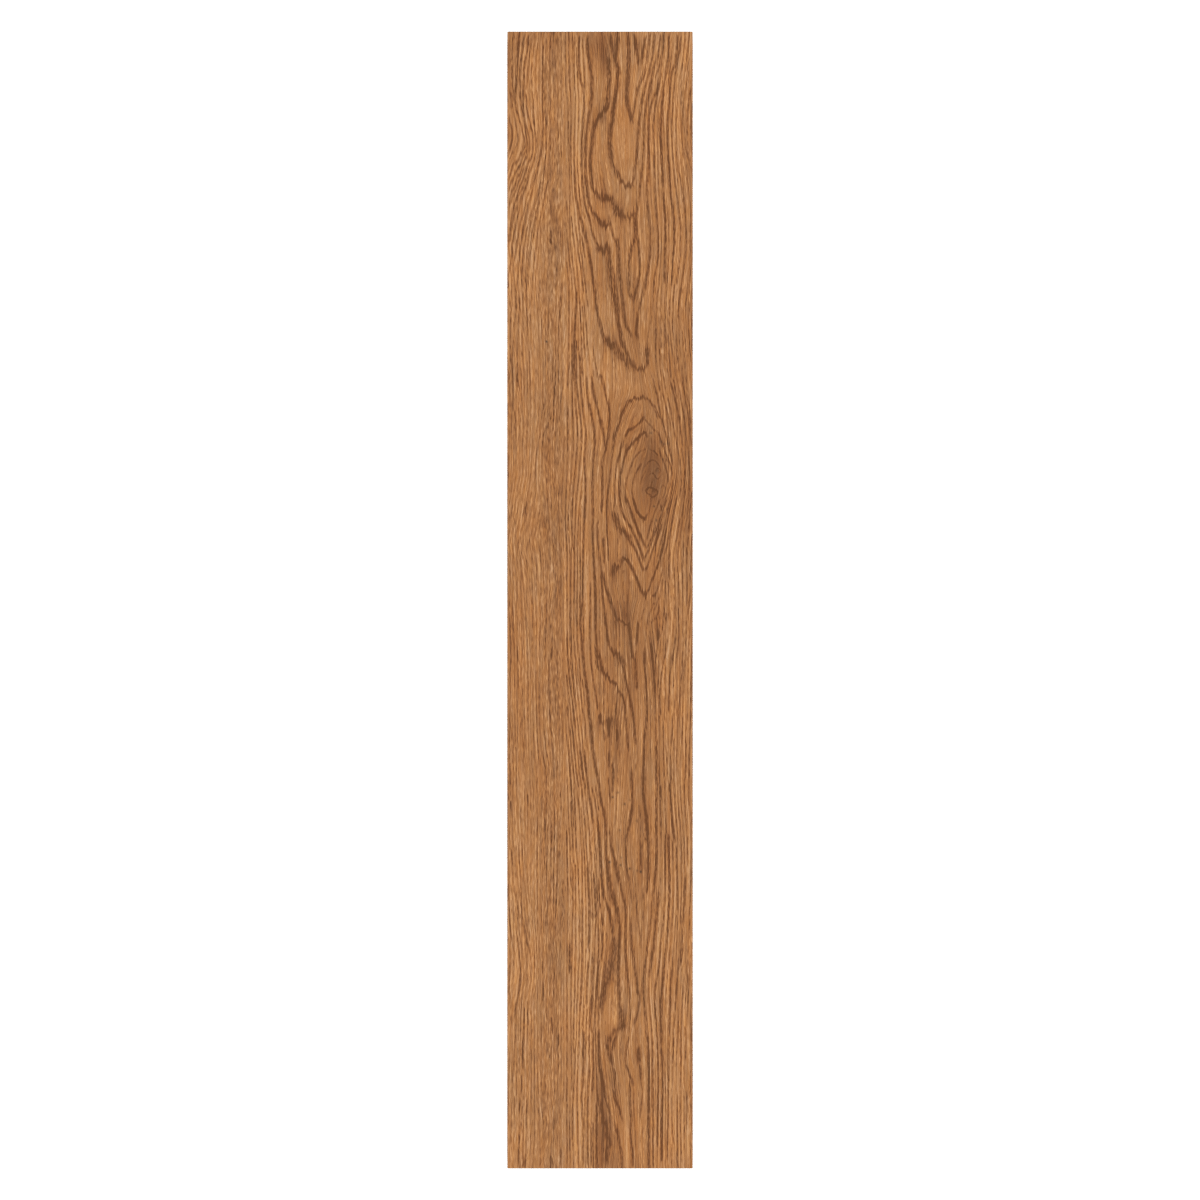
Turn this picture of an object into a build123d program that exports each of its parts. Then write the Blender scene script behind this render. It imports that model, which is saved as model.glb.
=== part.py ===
from build123d import *

import os

# Self-adhesive vinyl floor tile in plank format: one calendered and pressed PVC sheet, die-cut square.
# Row frame, millimetres: +Z up, origin at the centre of the underside, +Y along the plank's length.
# The tile lies flat on its adhesive back with its printed oak face upwards.

# Driving dimensions, mm
LENGTH = 920.0      # along Y
WIDTH = 150.0       # along X
THICKNESS = 2.0     # back to wear face
TOP_EASE = 0.25     # the die rolls the upper arris over by this much
CORNER_R = 0.4      # plan radius that the cutting die leaves at each corner

# One sheet, cut to its outline
with BuildPart() as tile:
    with BuildSketch(Plane.XY):
        RectangleRounded(WIDTH, LENGTH, CORNER_R)
    extrude(amount=THICKNESS)
    # The knife enters from the face: the upper arris is rolled over, and the lower one stays sharp
    fillet(tile.faces().sort_by(Axis.Z)[-1].edges(), TOP_EASE)

sheet = tile.part
sheet.label = "vinyl_tile"
box = sheet.bounding_box()
print("size", box.size, "low z", round(box.min.Z, 4), "volume mm3", round(sheet.volume, 1))

os.makedirs("parts", exist_ok=True)
export_step(sheet, "parts/vinyl_tile.step")
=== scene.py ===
"""Wood-effect vinyl plank lying flat on a pale floor, seen straight down.

The face is an oak print with its grain embossed in register: the ring lines, knot and soft
patches below are given in millimetres from the middle of the plank (x across, y along),
and everything between them is procedural fibre.
"""

import bpy
import numpy as np
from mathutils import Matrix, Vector


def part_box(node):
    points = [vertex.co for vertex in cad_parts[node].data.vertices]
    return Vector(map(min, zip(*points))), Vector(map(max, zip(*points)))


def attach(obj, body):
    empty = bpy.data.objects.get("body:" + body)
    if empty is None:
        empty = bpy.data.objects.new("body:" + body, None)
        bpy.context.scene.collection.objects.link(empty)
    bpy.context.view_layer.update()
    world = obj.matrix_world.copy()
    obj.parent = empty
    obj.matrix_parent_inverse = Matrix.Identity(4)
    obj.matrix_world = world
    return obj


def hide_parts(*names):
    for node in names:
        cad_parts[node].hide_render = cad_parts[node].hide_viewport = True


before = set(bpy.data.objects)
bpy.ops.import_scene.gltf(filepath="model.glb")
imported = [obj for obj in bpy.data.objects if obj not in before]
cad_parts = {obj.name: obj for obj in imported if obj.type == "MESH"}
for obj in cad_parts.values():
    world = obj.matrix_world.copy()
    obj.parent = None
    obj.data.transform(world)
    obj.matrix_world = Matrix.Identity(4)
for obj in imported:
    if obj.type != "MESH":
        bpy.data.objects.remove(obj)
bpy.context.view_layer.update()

LO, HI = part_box("vinyl_tile")
MM = 1000.0
HALF_W = (HI.x - LO.x) / 2 * MM       # 75
HALF_L = (HI.y - LO.y) / 2 * MM       # 460
THICK = (HI.z - LO.z) * MM            # 2
EASE = 0.25                           # rolled top arris
CORNER = 0.4                          # vertical corner rounding

# ---------------------------------------------------------------- grain drawing
# Ring lines: darkness 0..1, half width, then points x,y down the line.
RING_LINES = """
0.65 0.52 | -27.9,459.3 -27.9,436.7 -27.3,412.4 -26.1,402.7 -25.5,380 -25.3,363.8 -24.7,339.5 -24.3,323.4 -24.4,299.1 -23.9,286.9 -22.4,276.4 -20.7,262.7 -19.6,250.5 -19,238.4
0.65 0.52 | -22.3,457.7 -21.6,436.7 -20.9,424.5 -20.2,414 -19.7,404.3 -19.9,392.2 -20.6,380 -21,363.8 -20.6,347.6 -19.8,335.5 -18.8,323.4 -17.6,311.2 -16.5,295 -15.3,282.9 -13.9,270.7 -12.4,258.6 -11,246.5 -9.7,235.9
0.60 0.50 | -20.2,457.7 -20.7,444.8 -20.7,431.8 -20.6,422.1
0.90 0.74 | -16.6,457.7 -17.2,444.8 -17.1,431.8 -15.7,422.1 -13.7,412.4 -12.8,402.7 -13.4,392.2 -14.2,381.6 -14.8,371.9 -15,359.8 -14.8,346 -14.1,335.5 -12.8,325 -11.2,316.9 -9.3,308.8 -7.2,302.3 -4.9,295.4 -2.3,289 0.4,284.5 3.2,281.3
0.70 0.56 | -14.2,456.1 -14,444.8 -13.4,436.7 -12.7,428.6 -12.5,420.5 -12.5,410.8
0.95 1.04 | -10.1,456.1 -9.9,444.8 -9.1,438.3 -7.9,432.6 -7.1,426.1 -6.7,420.5 -6.5,412.4 -7,404.3 -8.1,396.2 -9.3,390.1 -10.4,384.5 -11.2,378.4 -11.6,371.9 -11.8,363.8 -11.8,351.7 -11.2,341.2 -10.2,331.4 -8.9,321.7 -6.6,315.7 -3.5,310.8 -0.7,306.8 2.1,302.7 5,301.9 6.9,304.7 7.7,311.2
1.00 1.28 | 6.9,438.3 6.9,431.8 7.3,424.5 6.9,414 6.1,404.3 5.3,397.8 2,393.4 -1.6,389.7 -4.5,384.5 -5.7,378.4 -6.1,371.9 -7.3,363.8 -8.1,354.1 -7.3,343.6 -6.5,335.5 -4,330.6 -1.2,326.6
0.75 1.04 | 8.5,456.1 9.3,448 11.7,441.5
1.00 1.36 | 14.2,458.5 14.2,451.2 13,444.8 12.1,439.1 13,433 15,427.8 14.2,420.5 13,412.4 11.7,405.9 10.9,397.8 10.1,388.9 8.5,381.6 7.7,374.3 8.1,366.3 8.9,359 10.9,351.7 13.8,345.2 16.6,339.5 19.8,337.5 23.1,335.5 25.9,333.9
0.80 0.80 | 24.7,334.7 26.8,338.3 28.1,346 28.9,353.3 29.8,363.8 30.7,376 31.4,384.1 32.5,393 34.1,404.3 36,412.8 37.9,420.1 39.8,427.4 41.5,435.1 42.9,444.8 44.1,456.9
0.95 1.20 | 22.3,458.5 23.1,448.8 23.1,438.3 23.1,428.6 22.3,420.5 21.4,410.8 21.9,403.5 23.5,397 25.5,390.5 26.3,388.1
0.80 0.86 | 25.5,388.1 26.8,393 28,399.4 29,405.9 30.6,413.6 32.7,419.3 34.8,424.9 36.7,431.8 38.3,439.1 39.6,448.8 40.5,457.7
0.85 0.98 | 27.9,456.1 28.7,448.8 30.4,440.7 31.2,433.4
0.85 0.86 | 36.8,456.9 35.6,448.8 34.5,441.9 33.6,434.2
0.75 0.80 | 49,457.7 48.2,448 46.7,439.9 44.5,432.2 42.5,424.1 40.9,416 39.3,407.9 37.8,401.1 36.8,393.8 36.1,386.5 35.6,378.4 35.3,370.3 35.1,362.2 34.7,354.1 33.9,346 32.9,337.9 32,329.8 31.2,322.5 30,316.1 28.3,311.2
0.84 2.24 | 27.9,311.6 23.9,308.8 19.8,308.4 16.6,310.4 14.2,313.6 12.1,317.3 10.1,321.3 7.3,324.6 3.2,326.2 -1.2,327.4
0.35 0.56 | 4.9,329.8 3.6,337.1 3.2,344.4
0.80 0.80 | 51.4,457.7 51.2,446.4 50.6,436.7 49.7,428.6 48.3,420.5 45.8,412.4 42.9,406.3 40.8,399.8 39.8,392.2 39.4,384.1 39.3,375.2 39.3,363.8 39.2,351.7 38.6,342.8 38,333.1 38.1,323.4 38.9,315.3 39.9,308 40.8,300.7 40.9,291 40.3,278.8 39.2,269.1 37.5,259.4 35.6,252.1 33.6,243.2 31.7,234.3 30.2,226.2 29.5,218.1 29.9,211.7
0.82 0.56 | 49.4,424.9 48,416.8 46.3,408.7 45,402.3 44.1,394.6 43.5,386.5 43.5,376 43.9,363.8 44.1,353.3 44.1,343.6 44.3,335.5 44.7,327.4 45.1,319.3 45.7,311.2 46.4,303.1 46.9,295 47.2,288.6 47,278.8 46,270.7 44.6,264.3 43.6,256.2 43.3,246.5
0.45 0.75 | 43.3,246.5 42.5,235.9 40.9,224.6 38.9,213.3 37.6,206.8
0.97 0.80 | 55.8,456.9 55.7,448.8 55.3,440.7 54.6,432.6 53.7,426.1 52.7,419.7 51.7,412.4 50.7,404.3 49.9,396.2 49.4,388.1 49.2,380 49.4,371.9 49.7,363.8 50,354.1 50.4,346 50.6,337.9 50.8,329.8 51.5,321.7 52.4,313.6 52.9,305.5 53,297.5 53,286.9 52.8,276.4 52.4,266.7 52.2,258.6
0.87 0.74 | 62.7,457.7 62.5,447.2 61.5,438.3 59.8,432.2 58.3,426.6 57.2,418.9 56.5,410.8 55.9,402.7 55.2,394.6 54.7,386.5 54.7,376 55,363.8 55.5,354.1 56.1,346 56.5,337.9 57,331.4 57.7,325 58.6,318.5 59.5,311.2 60.1,303.1 60.1,295 59.6,285.3 59,274.8 58.4,265.1 57.9,254.6
0.77 0.56 | 65.6,456.1 64.7,446.4 63,438.7 61.6,430.6 60.7,422.1 60,414 59.4,405.9 58.7,397.8 58.1,388.1 58.1,376 58.7,363.8 59.3,354.1 59.8,346 60.7,337.9 61.9,331.4 62.9,325 63.6,318.5 64.3,311.2 65.1,303.1 65.4,295 65.2,286.9 64.7,278.8 63.8,270.7 62.8,262.7 61.9,254.6
0.62 0.52 | 72,436.7 71.3,427 70,416.8 68.5,408.7 67.3,400.2 66.7,389.7 66.5,377.6 66.5,363.8 67.2,355.7
0.72 0.52 | 64.3,346 65.6,339.5 66.8,331.4 67.9,323.4 68.7,315.3 69.3,307.2 69.8,297.5 69.8,286.9 69.1,276.4 67.9,266.7 66.4,257 64.9,248.9 63.7,240 63.1,230.3
0.72 0.52 | 73.3,414 72.5,405.9 71,397.8 70.3,388.1 70.8,377.6
0.57 0.50 | 70,364.2 71.6,356.1 73.7,347.6
0.57 0.50 | 70,341.6 71.6,331.9 72.9,322.1 73.5,311.2 73.4,299.1 73.4,282.9 73.1,268.3 72,257 70.4,245.7 68.8,234.3
0.95 0.86 | -20.6,347.6 -20,335.5 -18.9,323.4 -17,313.2 -14.5,305.5 -12.2,297.5 -10.5,289.4 -9,281.3 -7.7,273.2 -6.5,265.1 -5.4,257 -4.4,248.9 -3.4,240.8 -2.5,234.3 -1.2,227.8 0.4,221.4 2.1,214.9 4,210
0.88 2.69 | 4.5,210.4 7.3,207.2 9.7,205.2 12.5,201.9 15.8,198.7 18.2,195.5 21,193.4 24.3,191 27.5,189
0.84 1.64 | 27.5,189.4 31.6,187.4 34,187.4 35.6,189 38,192.6 38.4,198.7 38,205.2
0.79 2.24 | 6.1,285.3 7.7,278 8.1,269.9 8.9,261.8 10.5,253.7 11.3,245.7 13,238.4 13.8,231.9
0.95 1.20 | 13.8,231.9 14.6,225.4 16.2,218.1 17,211.3 19,205.2 21,199.9 23.1,195.1 25.1,190.2
0.80 1.12 | 7.7,310.4 8.6,301.9 10.6,295.4 13.1,292.2 14.6,287.7 15.2,278 15.8,268.3 16.6,255.4 17.6,244.8 18.6,235.9 19.3,229.5 20.5,223 22.7,217.7 25.1,214.1
0.80 1.20 | 27.9,311.2 28.7,301.5 28.3,294.2 26.3,287.3 24.7,280.9 23.5,274 23.1,265.1 23.1,255.4 23.5,248.9 26.3,242.4
0.80 0.80 | 30.4,292.6 31.2,284.5 32,276.4 32.5,269.9 32.1,263.5 30.7,256.2 28.9,248.9 27.5,242.4
0.84 2.46 | -0.4,286.1 2.8,282.1 5.7,284.9
0.57 0.52 | 49,227.8 49,216.5 49.8,206
0.62 0.52 | 52.2,224.6 52.7,214.9 52.4,205.2 51.9,197.1 52.2,187.4
0.57 0.50 | 55.4,227.8 56.5,218.1 58,205.2 59.7,192.2 61.1,179.3
0.62 0.52 | 61.9,218.1 62,206.8 62.6,195.5 63.9,184.1
0.62 0.52 | 66.8,221.4 67.2,206.8 68.2,195.5 69.4,182.5 70.8,171.2
0.62 0.52 | 72,218.1 72.4,205.2 73.3,192.2
0.50 0.56 | -31.2,255.4 -31.4,245.7 -32,234.3 -32.8,224.6
0.85 0.74 | -19,252.1 -19.2,242.4 -19.8,230.3 -20.4,218.1 -20.6,206 -20.6,193.9 -20.6,179.3
0.65 0.52 | -13.8,245.7 -12.2,232.7 -11.2,221.4 -10.6,211.7 -9.7,200.3 -8.5,189
0.70 0.56 | -5.3,202.8 -4.5,195.5 -3.3,187.4 -1.6,182.5
0.90 0.68 | -16.6,200.3 -16,189 -15.6,174.4 -14.9,166.3 -13.8,155 -12.4,142.9 -11.5,134 -11.7,124.2 -12.5,115.3 -12.5,105.6 -11.7,93.5 -11.9,80.5 -13,64.3 -13.6,40.1 -14,15.8 -14.2,-0.4
0.95 0.92 | -14.2,-0.4 -15.8,-18.2 -14.2,-36.8 -13.4,-49 -12.5,-61.1 -10.5,-73.3 -9.3,-85.4 -8.1,-95.9
1.00 0.98 | -7.7,-95.9 -6.9,-108.1 -6.1,-119.4 -4.5,-129.9 -2.8,-140.4 -0.8,-151
0.90 0.92 | -0.8,-151 0.4,-159.9 1.2,-164.7 3.6,-172 4.5,-186.6 4.5,-198.7 4.9,-209.2
0.88 1.64 | 4.9,-209.2 6.1,-218.1 7.3,-227 9.3,-235.1 10.9,-240.8 12.5,-247.3
0.95 0.98 | 12.5,-247.3 14.2,-252.9 15,-259.4 15.8,-271.6 15.4,-283.7 15,-299.9 15.4,-316.1 15.8,-328.2
0.85 0.80 | -1.6,182.1 0.7,178.5 3,172 5.3,163.9 7,156.6 7.8,145.3 7.2,134 5.2,124.2 2.7,115.7 1.6,106.4 1.8,95.1 1.8,80.5 1.2,72.4
0.90 0.80 | -6.9,179.3 -5.5,169.6 -3.5,161.5 -1.5,152.6 0.3,145.3 2.1,137.2 3.6,129.1 4.9,121.8
0.90 0.80 | -10.9,180.9 -10.5,169.6 -9.2,159.9 -7.4,151.8 -5.8,143.7 -4.6,134 -4.1,128.3 -4.7,120.2 -5.6,108.9 -6.1,92.7 -5.8,82.2 -5.7,70.8 -6,59.5 -5.9,49.8 -5.3,35.2 -4.5,22.3 -3.8,7.7 -3.6,-8.5 -3.6,-23.1 -3.4,-32.8 -2.8,-40.9
1.00 0.80 | -2.8,-37.6 -2.8,-42.5 -2.6,-47.3 -2.1,-52.2 -1.6,-55.4
0.90 0.98 | -0.8,-41.7 0,-47.3 1.2,-53 2.8,-58.7 6.9,-63.5 10.1,-66 13.4,-70 16.2,-74.1
0.75 0.80 | 16.2,-74.1 18.6,-79.7 20.1,-86.2 20.7,-94.3 21,-100.8 22,-110.5 23.5,-120.2
0.82 0.56 | -36,181.7 -36.7,172.8 -37.2,163.1 -37.5,153.4 -37.7,145.3 -38,136.4
0.55 0.52 | -30.4,184.1 -30.4,172.8 -31.2,161.5
0.70 0.56 | -25.5,200.3 -25.5,187.4 -26.3,172.8
0.60 0.52 | -26.3,159.9 -26.3,145.3 -26.1,129.1 -25.9,116.1 -26.3,103.2 -27.2,88.6 -27.9,72.4 -27.9,56.3
0.70 0.52 | -18.2,124.2 -19.2,112.9 -20.4,101.6 -21.4,90.2 -22.3,80.5 -22.9,67.6 -22.7,54.6 -21.4,40.1
0.70 0.52 | -15,124.2 -15.9,112.9 -17,101.6 -18.2,90.2 -19.2,78.9 -19.9,66 -20.4,54.6 -20.6,40.1 -20.7,23.9 -21,7.7 -21.4,-10.1
0.70 0.52 | -16.6,75.7 -17.4,64.3 -18,53 -18.2,38.4 -18.3,22.3 -18.6,4.5 -18.7,-13.4 -18.4,-32.8 -18.2,-44.9
1.00 0.98 | 11.3,127.5 12.1,134 13.8,139.2 15.8,144.5 17.8,150.5 20.6,155.8 22.7,160.3 24.3,161.9 27.9,162.7 32.4,163.9 34.4,165.5 36.4,163.9
0.62 0.61 | 36.8,164.7 40.5,160.3 44.1,153.8 46.5,147.3
0.82 0.56 | 11.3,127.5 10.6,121.8 9.6,114.5 8.7,106.4 7.6,96.7 6.3,87.8 5.5,78.9 5.3,70.8 5.5,61.1 6.1,49.8 6.7,38.4 6.9,32
0.87 0.80 | 13.4,108.9 15.4,116.1 17,122.6 19,128.7 21,134 23.5,138 27.1,140 29.9,141.6 32.8,144.5 35.6,147.7
0.57 0.56 | 35.6,146.9 38.9,143.3 43.3,139.2 46.5,136 49,131.1
0.82 0.56 | 13.4,108.9 12.3,101.6 11.8,93.5 11.7,85.4 11.7,74.1
0.92 0.80 | 17.8,107.7 19.4,113.3 21,119 23.9,123.8 27.1,127.5 30.4,130.7 32.8,133.6 35.2,135.6 36.8,135.6 37.6,134.4 38.4,131.9
0.60 0.42 | 39.5,135.2 39.3,133.6 38.9,131.3
0.87 0.43 | 49.4,76.9 49.5,74.9 50.1,73 51.2,73
0.60 0.42 | 42.7,66 42.7,63.1
0.62 0.42 | 53,112.1 53.6,113.3 54.2,113.1 54.6,111.7
0.92 0.80 | 17.8,107.7 16.4,100.8 15.7,93.5 15.8,85.4 16.3,78.9 17.2,72.4 19,67.6 21.7,63.5 24.4,59.9 27,54.2 29.5,48.6 31.8,43.3 33.7,37.6 35.6,31.2
0.72 0.52 | 30.8,119.8 27.9,114.1 25.2,108.5 22.9,102 21.2,95.9 20.5,89.4 20.6,83.8
0.97 0.80 | 20.6,83.8 22.1,78.5 23.8,74.5 25.6,70 27.5,64.8 29.6,59.1 31.9,53.4 34.1,48.2 36.4,42.5
0.62 0.52 | 33.2,110.9 32.5,108.9 31.1,106.4 29.2,103.2 27.6,98.7 26.6,93.5 26.3,88.6 26.3,83.8
1.00 0.68 | 26.3,83.8 27.9,78.1 29.5,72.8 32,68.8 34,66.8 35.6,66.4 36.8,67.2 37.6,68.8
0.55 0.42 | 38.4,68.6 39.5,71.2 40.4,74.9 41.1,78.1
0.95 0.43 | 34.8,66.4 34.8,64.5 35,62.7
0.80 0.43 | 33.6,66.4 35.6,65.4 37.6,66.8
0.77 0.56 | 38,41.7 40.5,46.5 42.8,53 44.9,59.1
0.72 0.56 | 35.2,31.6 37.9,36.8 40.5,42.5 42.9,49 45.4,55.8 48.1,63.5 50.6,70.4
0.96 1.72 | 11.3,70.8 13,64.3 15,58.3 17.8,55.4 21,53 23.9,49
0.92 0.80 | 23.9,49 26.3,44.9 28.6,40.5 30.9,35.2 33.2,29.1 35.6,23.1
0.77 0.56 | 36.4,23.5 38.8,28.3 40.9,34.8 43,40.9 45.3,47.3 47.8,54.2 50.2,61.5
0.75 1.18 | 10.1,22.3 11.7,29.9 14.2,27.1 16.2,26.7 17.8,32.8
1.00 0.92 | 17.8,32.4 21,32.8 24.3,29.1 26.3,25.1 28.3,20.2 30.4,15.4 32,10.1 33.6,6.1 36,4.9 38,6.5
0.94 0.61 | 38,6.5 40.3,11.3 42.2,16.6 44.3,21.9 46.7,27.9 48.9,34.4 50.6,41.7 52.2,49.8 53.8,57.9
0.79 0.56 | 41.3,-1.2 44.3,3.6 46.7,10.1 48.7,16.6 50.6,23.9
0.57 0.50 | 52.2,-5.3 52.8,4.5 53.2,14.2 53.8,24.3
0.77 0.52 | 49,149.3 51.4,141.2 53.7,133.1 55.7,124.2 57.4,117 58.7,109.7
0.57 0.50 | 50.2,168.8 52.4,160.7 54.8,151 57.1,141.6
0.69 0.50 | 43.7,157.8 46.5,151.8 49.8,146.1
0.72 0.52 | 61.5,163.9 62.7,155 64.8,145.3
0.72 0.52 | 70.4,168.4 72,158.6 73.1,148.5 73.3,135.6
0.62 0.52 | 68.4,98.3 68.6,88.6 67.7,77.3 66.4,66
0.67 0.52 | 62.7,27.1 63.2,17.4 63.8,6.1 64.3,-5.3
0.62 0.52 | 72.4,19.8 73.3,6.1 70.8,-10.1
0.72 0.56 | 42.1,56.7 43.7,51.8
0.80 0.56 | -7.7,14.2 -7.9,-0.4 -8.3,-15 -8.4,-29.5 -8,-40.9 -7.1,-49.8 -5.8,-58.7 -4.6,-68.4 -3.4,-77.3 -2,-87.8
0.75 0.74 | -2,64.3 -1.9,53 -1.2,42.5 0.1,32 1.1,20.6 1.7,9.3 2.5,-0.4 3.6,-8.5
0.90 0.92 | 3.6,-8.5 4.5,-16.6 5.7,-25.5 6.5,-32.8 7.7,-39.3
0.88 1.72 | 8.5,-39.3 11.7,-42.1 14.6,-44.9 17,-48.2 18.6,-52.6
0.85 0.80 | 18.6,-52.2 19.6,-57.9 21.1,-64.3 22.9,-72.4 24.4,-80.5 25.8,-88.6 27,-96.7 27.9,-104.8 28.7,-113.7
0.80 0.86 | 1.6,21.9 3.7,13.4 6,6.1 8,-0.8 9.7,-7.3
0.90 0.74 | 2.8,49.8 2.8,40.1 3.2,30.4
0.90 0.62 | 0.4,-93.5 0.4,-96.3 0.4,-98.7
0.90 0.74 | -0.8,-94.7 0.4,-97.9 0.8,-100.8
0.95 0.86 | 6.9,-99.2 6.9,-104.8 6.9,-111.3
0.85 0.74 | 3.6,-104.8 3.6,-108.9 3.6,-113.7
0.75 0.92 | 13.4,-105.6 14.2,-113.7
0.80 0.86 | 6.9,-123.4 6.9,-133.1
0.85 0.86 | 10.1,-133.1 10.9,-142.9 10.1,-154.2
0.70 0.61 | 6.9,-144.5 7.7,-152.6 8.5,-162.3
0.90 0.92 | 23.5,-18.2 23.9,-27.9
0.80 0.74 | 24.3,-27.9 25.1,-36.8 25.9,-45.7
0.85 0.86 | 30.8,-19.8 29.9,-29.5 29.5,-37.6
0.90 0.92 | 28.7,-42.5 28.7,-52.2 29.1,-61.9 29.5,-73.3
0.45 0.52 | 32.4,-17.4 34.4,-11.7 36.8,-7.3
0.85 0.92 | 36,-39.3 36,-53.8
0.75 0.86 | 36,-53.8 37,-65.2 37.5,-76.5 37.7,-87.8 37.6,-97.5 36.8,-105.6
0.80 0.80 | 36.8,-105.6 36,-115.3 35.7,-125.9 35.2,-135.6
0.75 1.55 | 35.2,-135.6 35.2,-146.1 35.2,-157.4
0.92 0.86 | 35.2,-157.4 36.5,-168.8 37.7,-178.5 38.5,-189.8 39.3,-199.5
0.85 0.80 | 39.3,-199.5 39.4,-209.2 39.4,-218.9 38.9,-227 38,-236.7
0.72 0.61 | 40.9,-34.4 41.8,-40.9 42.4,-47.3 43.1,-53.8 43.7,-63.5 44.1,-74.9
0.60 0.61 | 44.1,-74.9 44.5,-86.2 44.9,-95.9 45.2,-105.6 45.3,-117
0.97 0.80 | 46.9,-24.7 47.3,-32.8
0.72 0.56 | 52.2,-5.3 51.4,-15 50.2,-24.7
0.72 0.56 | 54.6,-31.2 53.3,-40.5 51.8,-48.6 50.3,-57.1 49.1,-66.8 48.6,-78.1 49,-91.1
0.82 0.56 | 61.1,-27.9 60.1,-39.3 58.6,-49 57,-56.7 56.2,-65.2 55.9,-76.5 55.4,-91.1
0.62 0.52 | 66.8,-42.5 66.2,-52.2 65.8,-65.2 64.9,-78.1 63.1,-91.1
0.72 0.52 | 58.7,-94.3 58.7,-105.6 57.5,-117
0.67 0.52 | 66.8,-94.3 66.8,-104 66,-115.3
0.65 0.52 | -23.5,-32.8 -23,-45.7 -22.3,-57.1 -21.3,-68.4 -20.2,-78.9 -19,-90.2 -17.8,-100.8 -16.7,-112.1 -15.8,-123.4
0.95 0.74 | -15.8,-123.4 -14.9,-133.1 -13.7,-142.9 -12.1,-152.6
0.65 0.52 | -21,-32.8 -19.9,-45.7 -17.9,-58.7 -16.2,-70 -15,-79.7 -13.7,-89.4 -12.2,-100.8 -11,-112.1 -10.1,-121.8
0.95 0.74 | -13,-121.8 -12,-131.5 -10.9,-141.2 -9.6,-151.8 -8.2,-160.7 -6.9,-170.4 -5.7,-180.1
0.80 0.56 | -9.7,-152.2 -8.1,-161.9 -6.5,-172
0.70 0.52 | -18.2,-154.2 -17,-167.1 -16.2,-180.1
0.80 0.56 | -6.5,-151.4 -4.4,-162.3 -2.8,-172 -1.6,-181.7
1.00 0.86 | -1.6,-181.7 -0.7,-191.4 -0.2,-199.5 0.4,-209.2 1.2,-220.6
1.00 0.92 | 1.2,-220.6 2,-230.3 2.8,-238.4
0.90 0.92 | 4.5,-242.4 6.1,-248.1 8.1,-254.6 9.3,-261 10.1,-268.3
0.80 0.86 | 8.5,-193 9.3,-199.5
0.95 1.05 | 9.3,-199.5 10.9,-207.6 13,-215.7 14.6,-223.8 15.8,-228.7
0.85 0.92 | 15.8,-228.7 17.4,-234.3 19.4,-240.8 20.2,-248.1
0.80 0.80 | 20.6,-248.1 20.8,-257.8 20.7,-267.5 20.6,-278.8 20.8,-288.6 21.4,-296.6 22.4,-304.7 23.4,-312.8 24.3,-320.9
0.90 0.86 | -10.1,-215.7 -9.6,-225.4 -9,-236.7 -8.6,-248.1 -8.6,-259.4 -8.9,-270.7 -9.3,-278.8
1.00 0.80 | -5.3,-220.6 -4.5,-230.3 -3.8,-240 -3.5,-249.7 -3.2,-257.8
0.70 0.56 | -3.2,-257.8 -3.7,-269.1 -4.2,-280.5 -4.7,-291.8 -5.3,-301.5 -6,-311.2 -6.5,-320.9
1.00 0.92 | -6.5,-320.9 -6.9,-329 -7.7,-337.1
0.90 0.74 | -14.2,-243.2 -14.3,-254.6 -14.4,-267.5 -14.3,-280.5 -14.2,-293.4 -14.4,-304.7 -15,-316.1 -15.8,-329
0.65 0.52 | -14.6,-275.6 -14.6,-288.6
0.85 0.74 | -24.7,-280.5 -24.7,-291.8 -24.7,-301.5
0.75 0.52 | -19.8,-191.4 -19.4,-202.8
0.75 0.52 | -22.3,-215.7 -21.9,-228.7 -22.3,-241.6
0.60 0.52 | 1.2,-252.9 2,-261
0.85 0.74 | 2,-267.5 2,-280.5 1.2,-291.8
0.70 0.56 | 5.3,-269.1 5.3,-280.5
0.80 0.86 | 25.5,-138 25.7,-149.3 26.2,-159 26.7,-165.5
0.95 0.98 | 26.7,-165.5 25.5,-171.6 23.9,-177.3 22.7,-184.9 21.4,-193
0.85 0.80 | 21.4,-193 21.2,-202.8 21.4,-212.5 21.9,-218.9
0.55 0.61 | 21.9,-218.9 23.9,-227 25,-236.7 25.5,-244.8
0.55 0.75 | 32.8,-194.7 32.8,-207.6 32.8,-218.9
0.60 0.56 | 34.8,-133.1 34.4,-146.1
0.55 0.52 | 32,-165.5 32.4,-175.2
0.92 0.74 | 45.7,-115.3 45.7,-133.1 45.7,-151 45.7,-167.1 45.7,-180.1 45.7,-194.7 45.6,-204.4 45.2,-215.7 44.5,-223.8 43.7,-231.9
0.75 0.80 | 43.7,-231.9 42.6,-243.2 41.7,-252.9 40.8,-261 39.7,-271.6 38.4,-280.5 37.2,-289.4
0.85 0.74 | 37.2,-289.4 36,-298.3
0.87 0.74 | 49,-151 49,-162.3
0.92 0.74 | 56.3,-147.7 57.1,-160.7 57.9,-173.6 59.1,-184.9 61.1,-196.3
0.72 0.52 | 53.4,-118.6 54.2,-129.9 54.6,-141.2
0.67 0.52 | 69.6,-118.6 69.6,-131.5 69.2,-144.5
0.67 0.52 | 73.3,-168.8 74.1,-180.1
0.87 0.74 | 46.9,-235.1 46.5,-246.5 45.8,-257.8 44.6,-267.5 43.3,-280.5
0.90 0.86 | 43.7,-280.1 42.4,-286.9 41,-294.2 39.7,-303.1
0.82 0.56 | 53,-191.4 52.6,-204.4 52.8,-217.3 52.9,-230.3 52.4,-243.2 51.5,-256.2 50.4,-267.5 49.2,-278.8 48.2,-290.2 47.1,-299.9 45.7,-307.6 44.5,-315.7 44.1,-322.5
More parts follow.
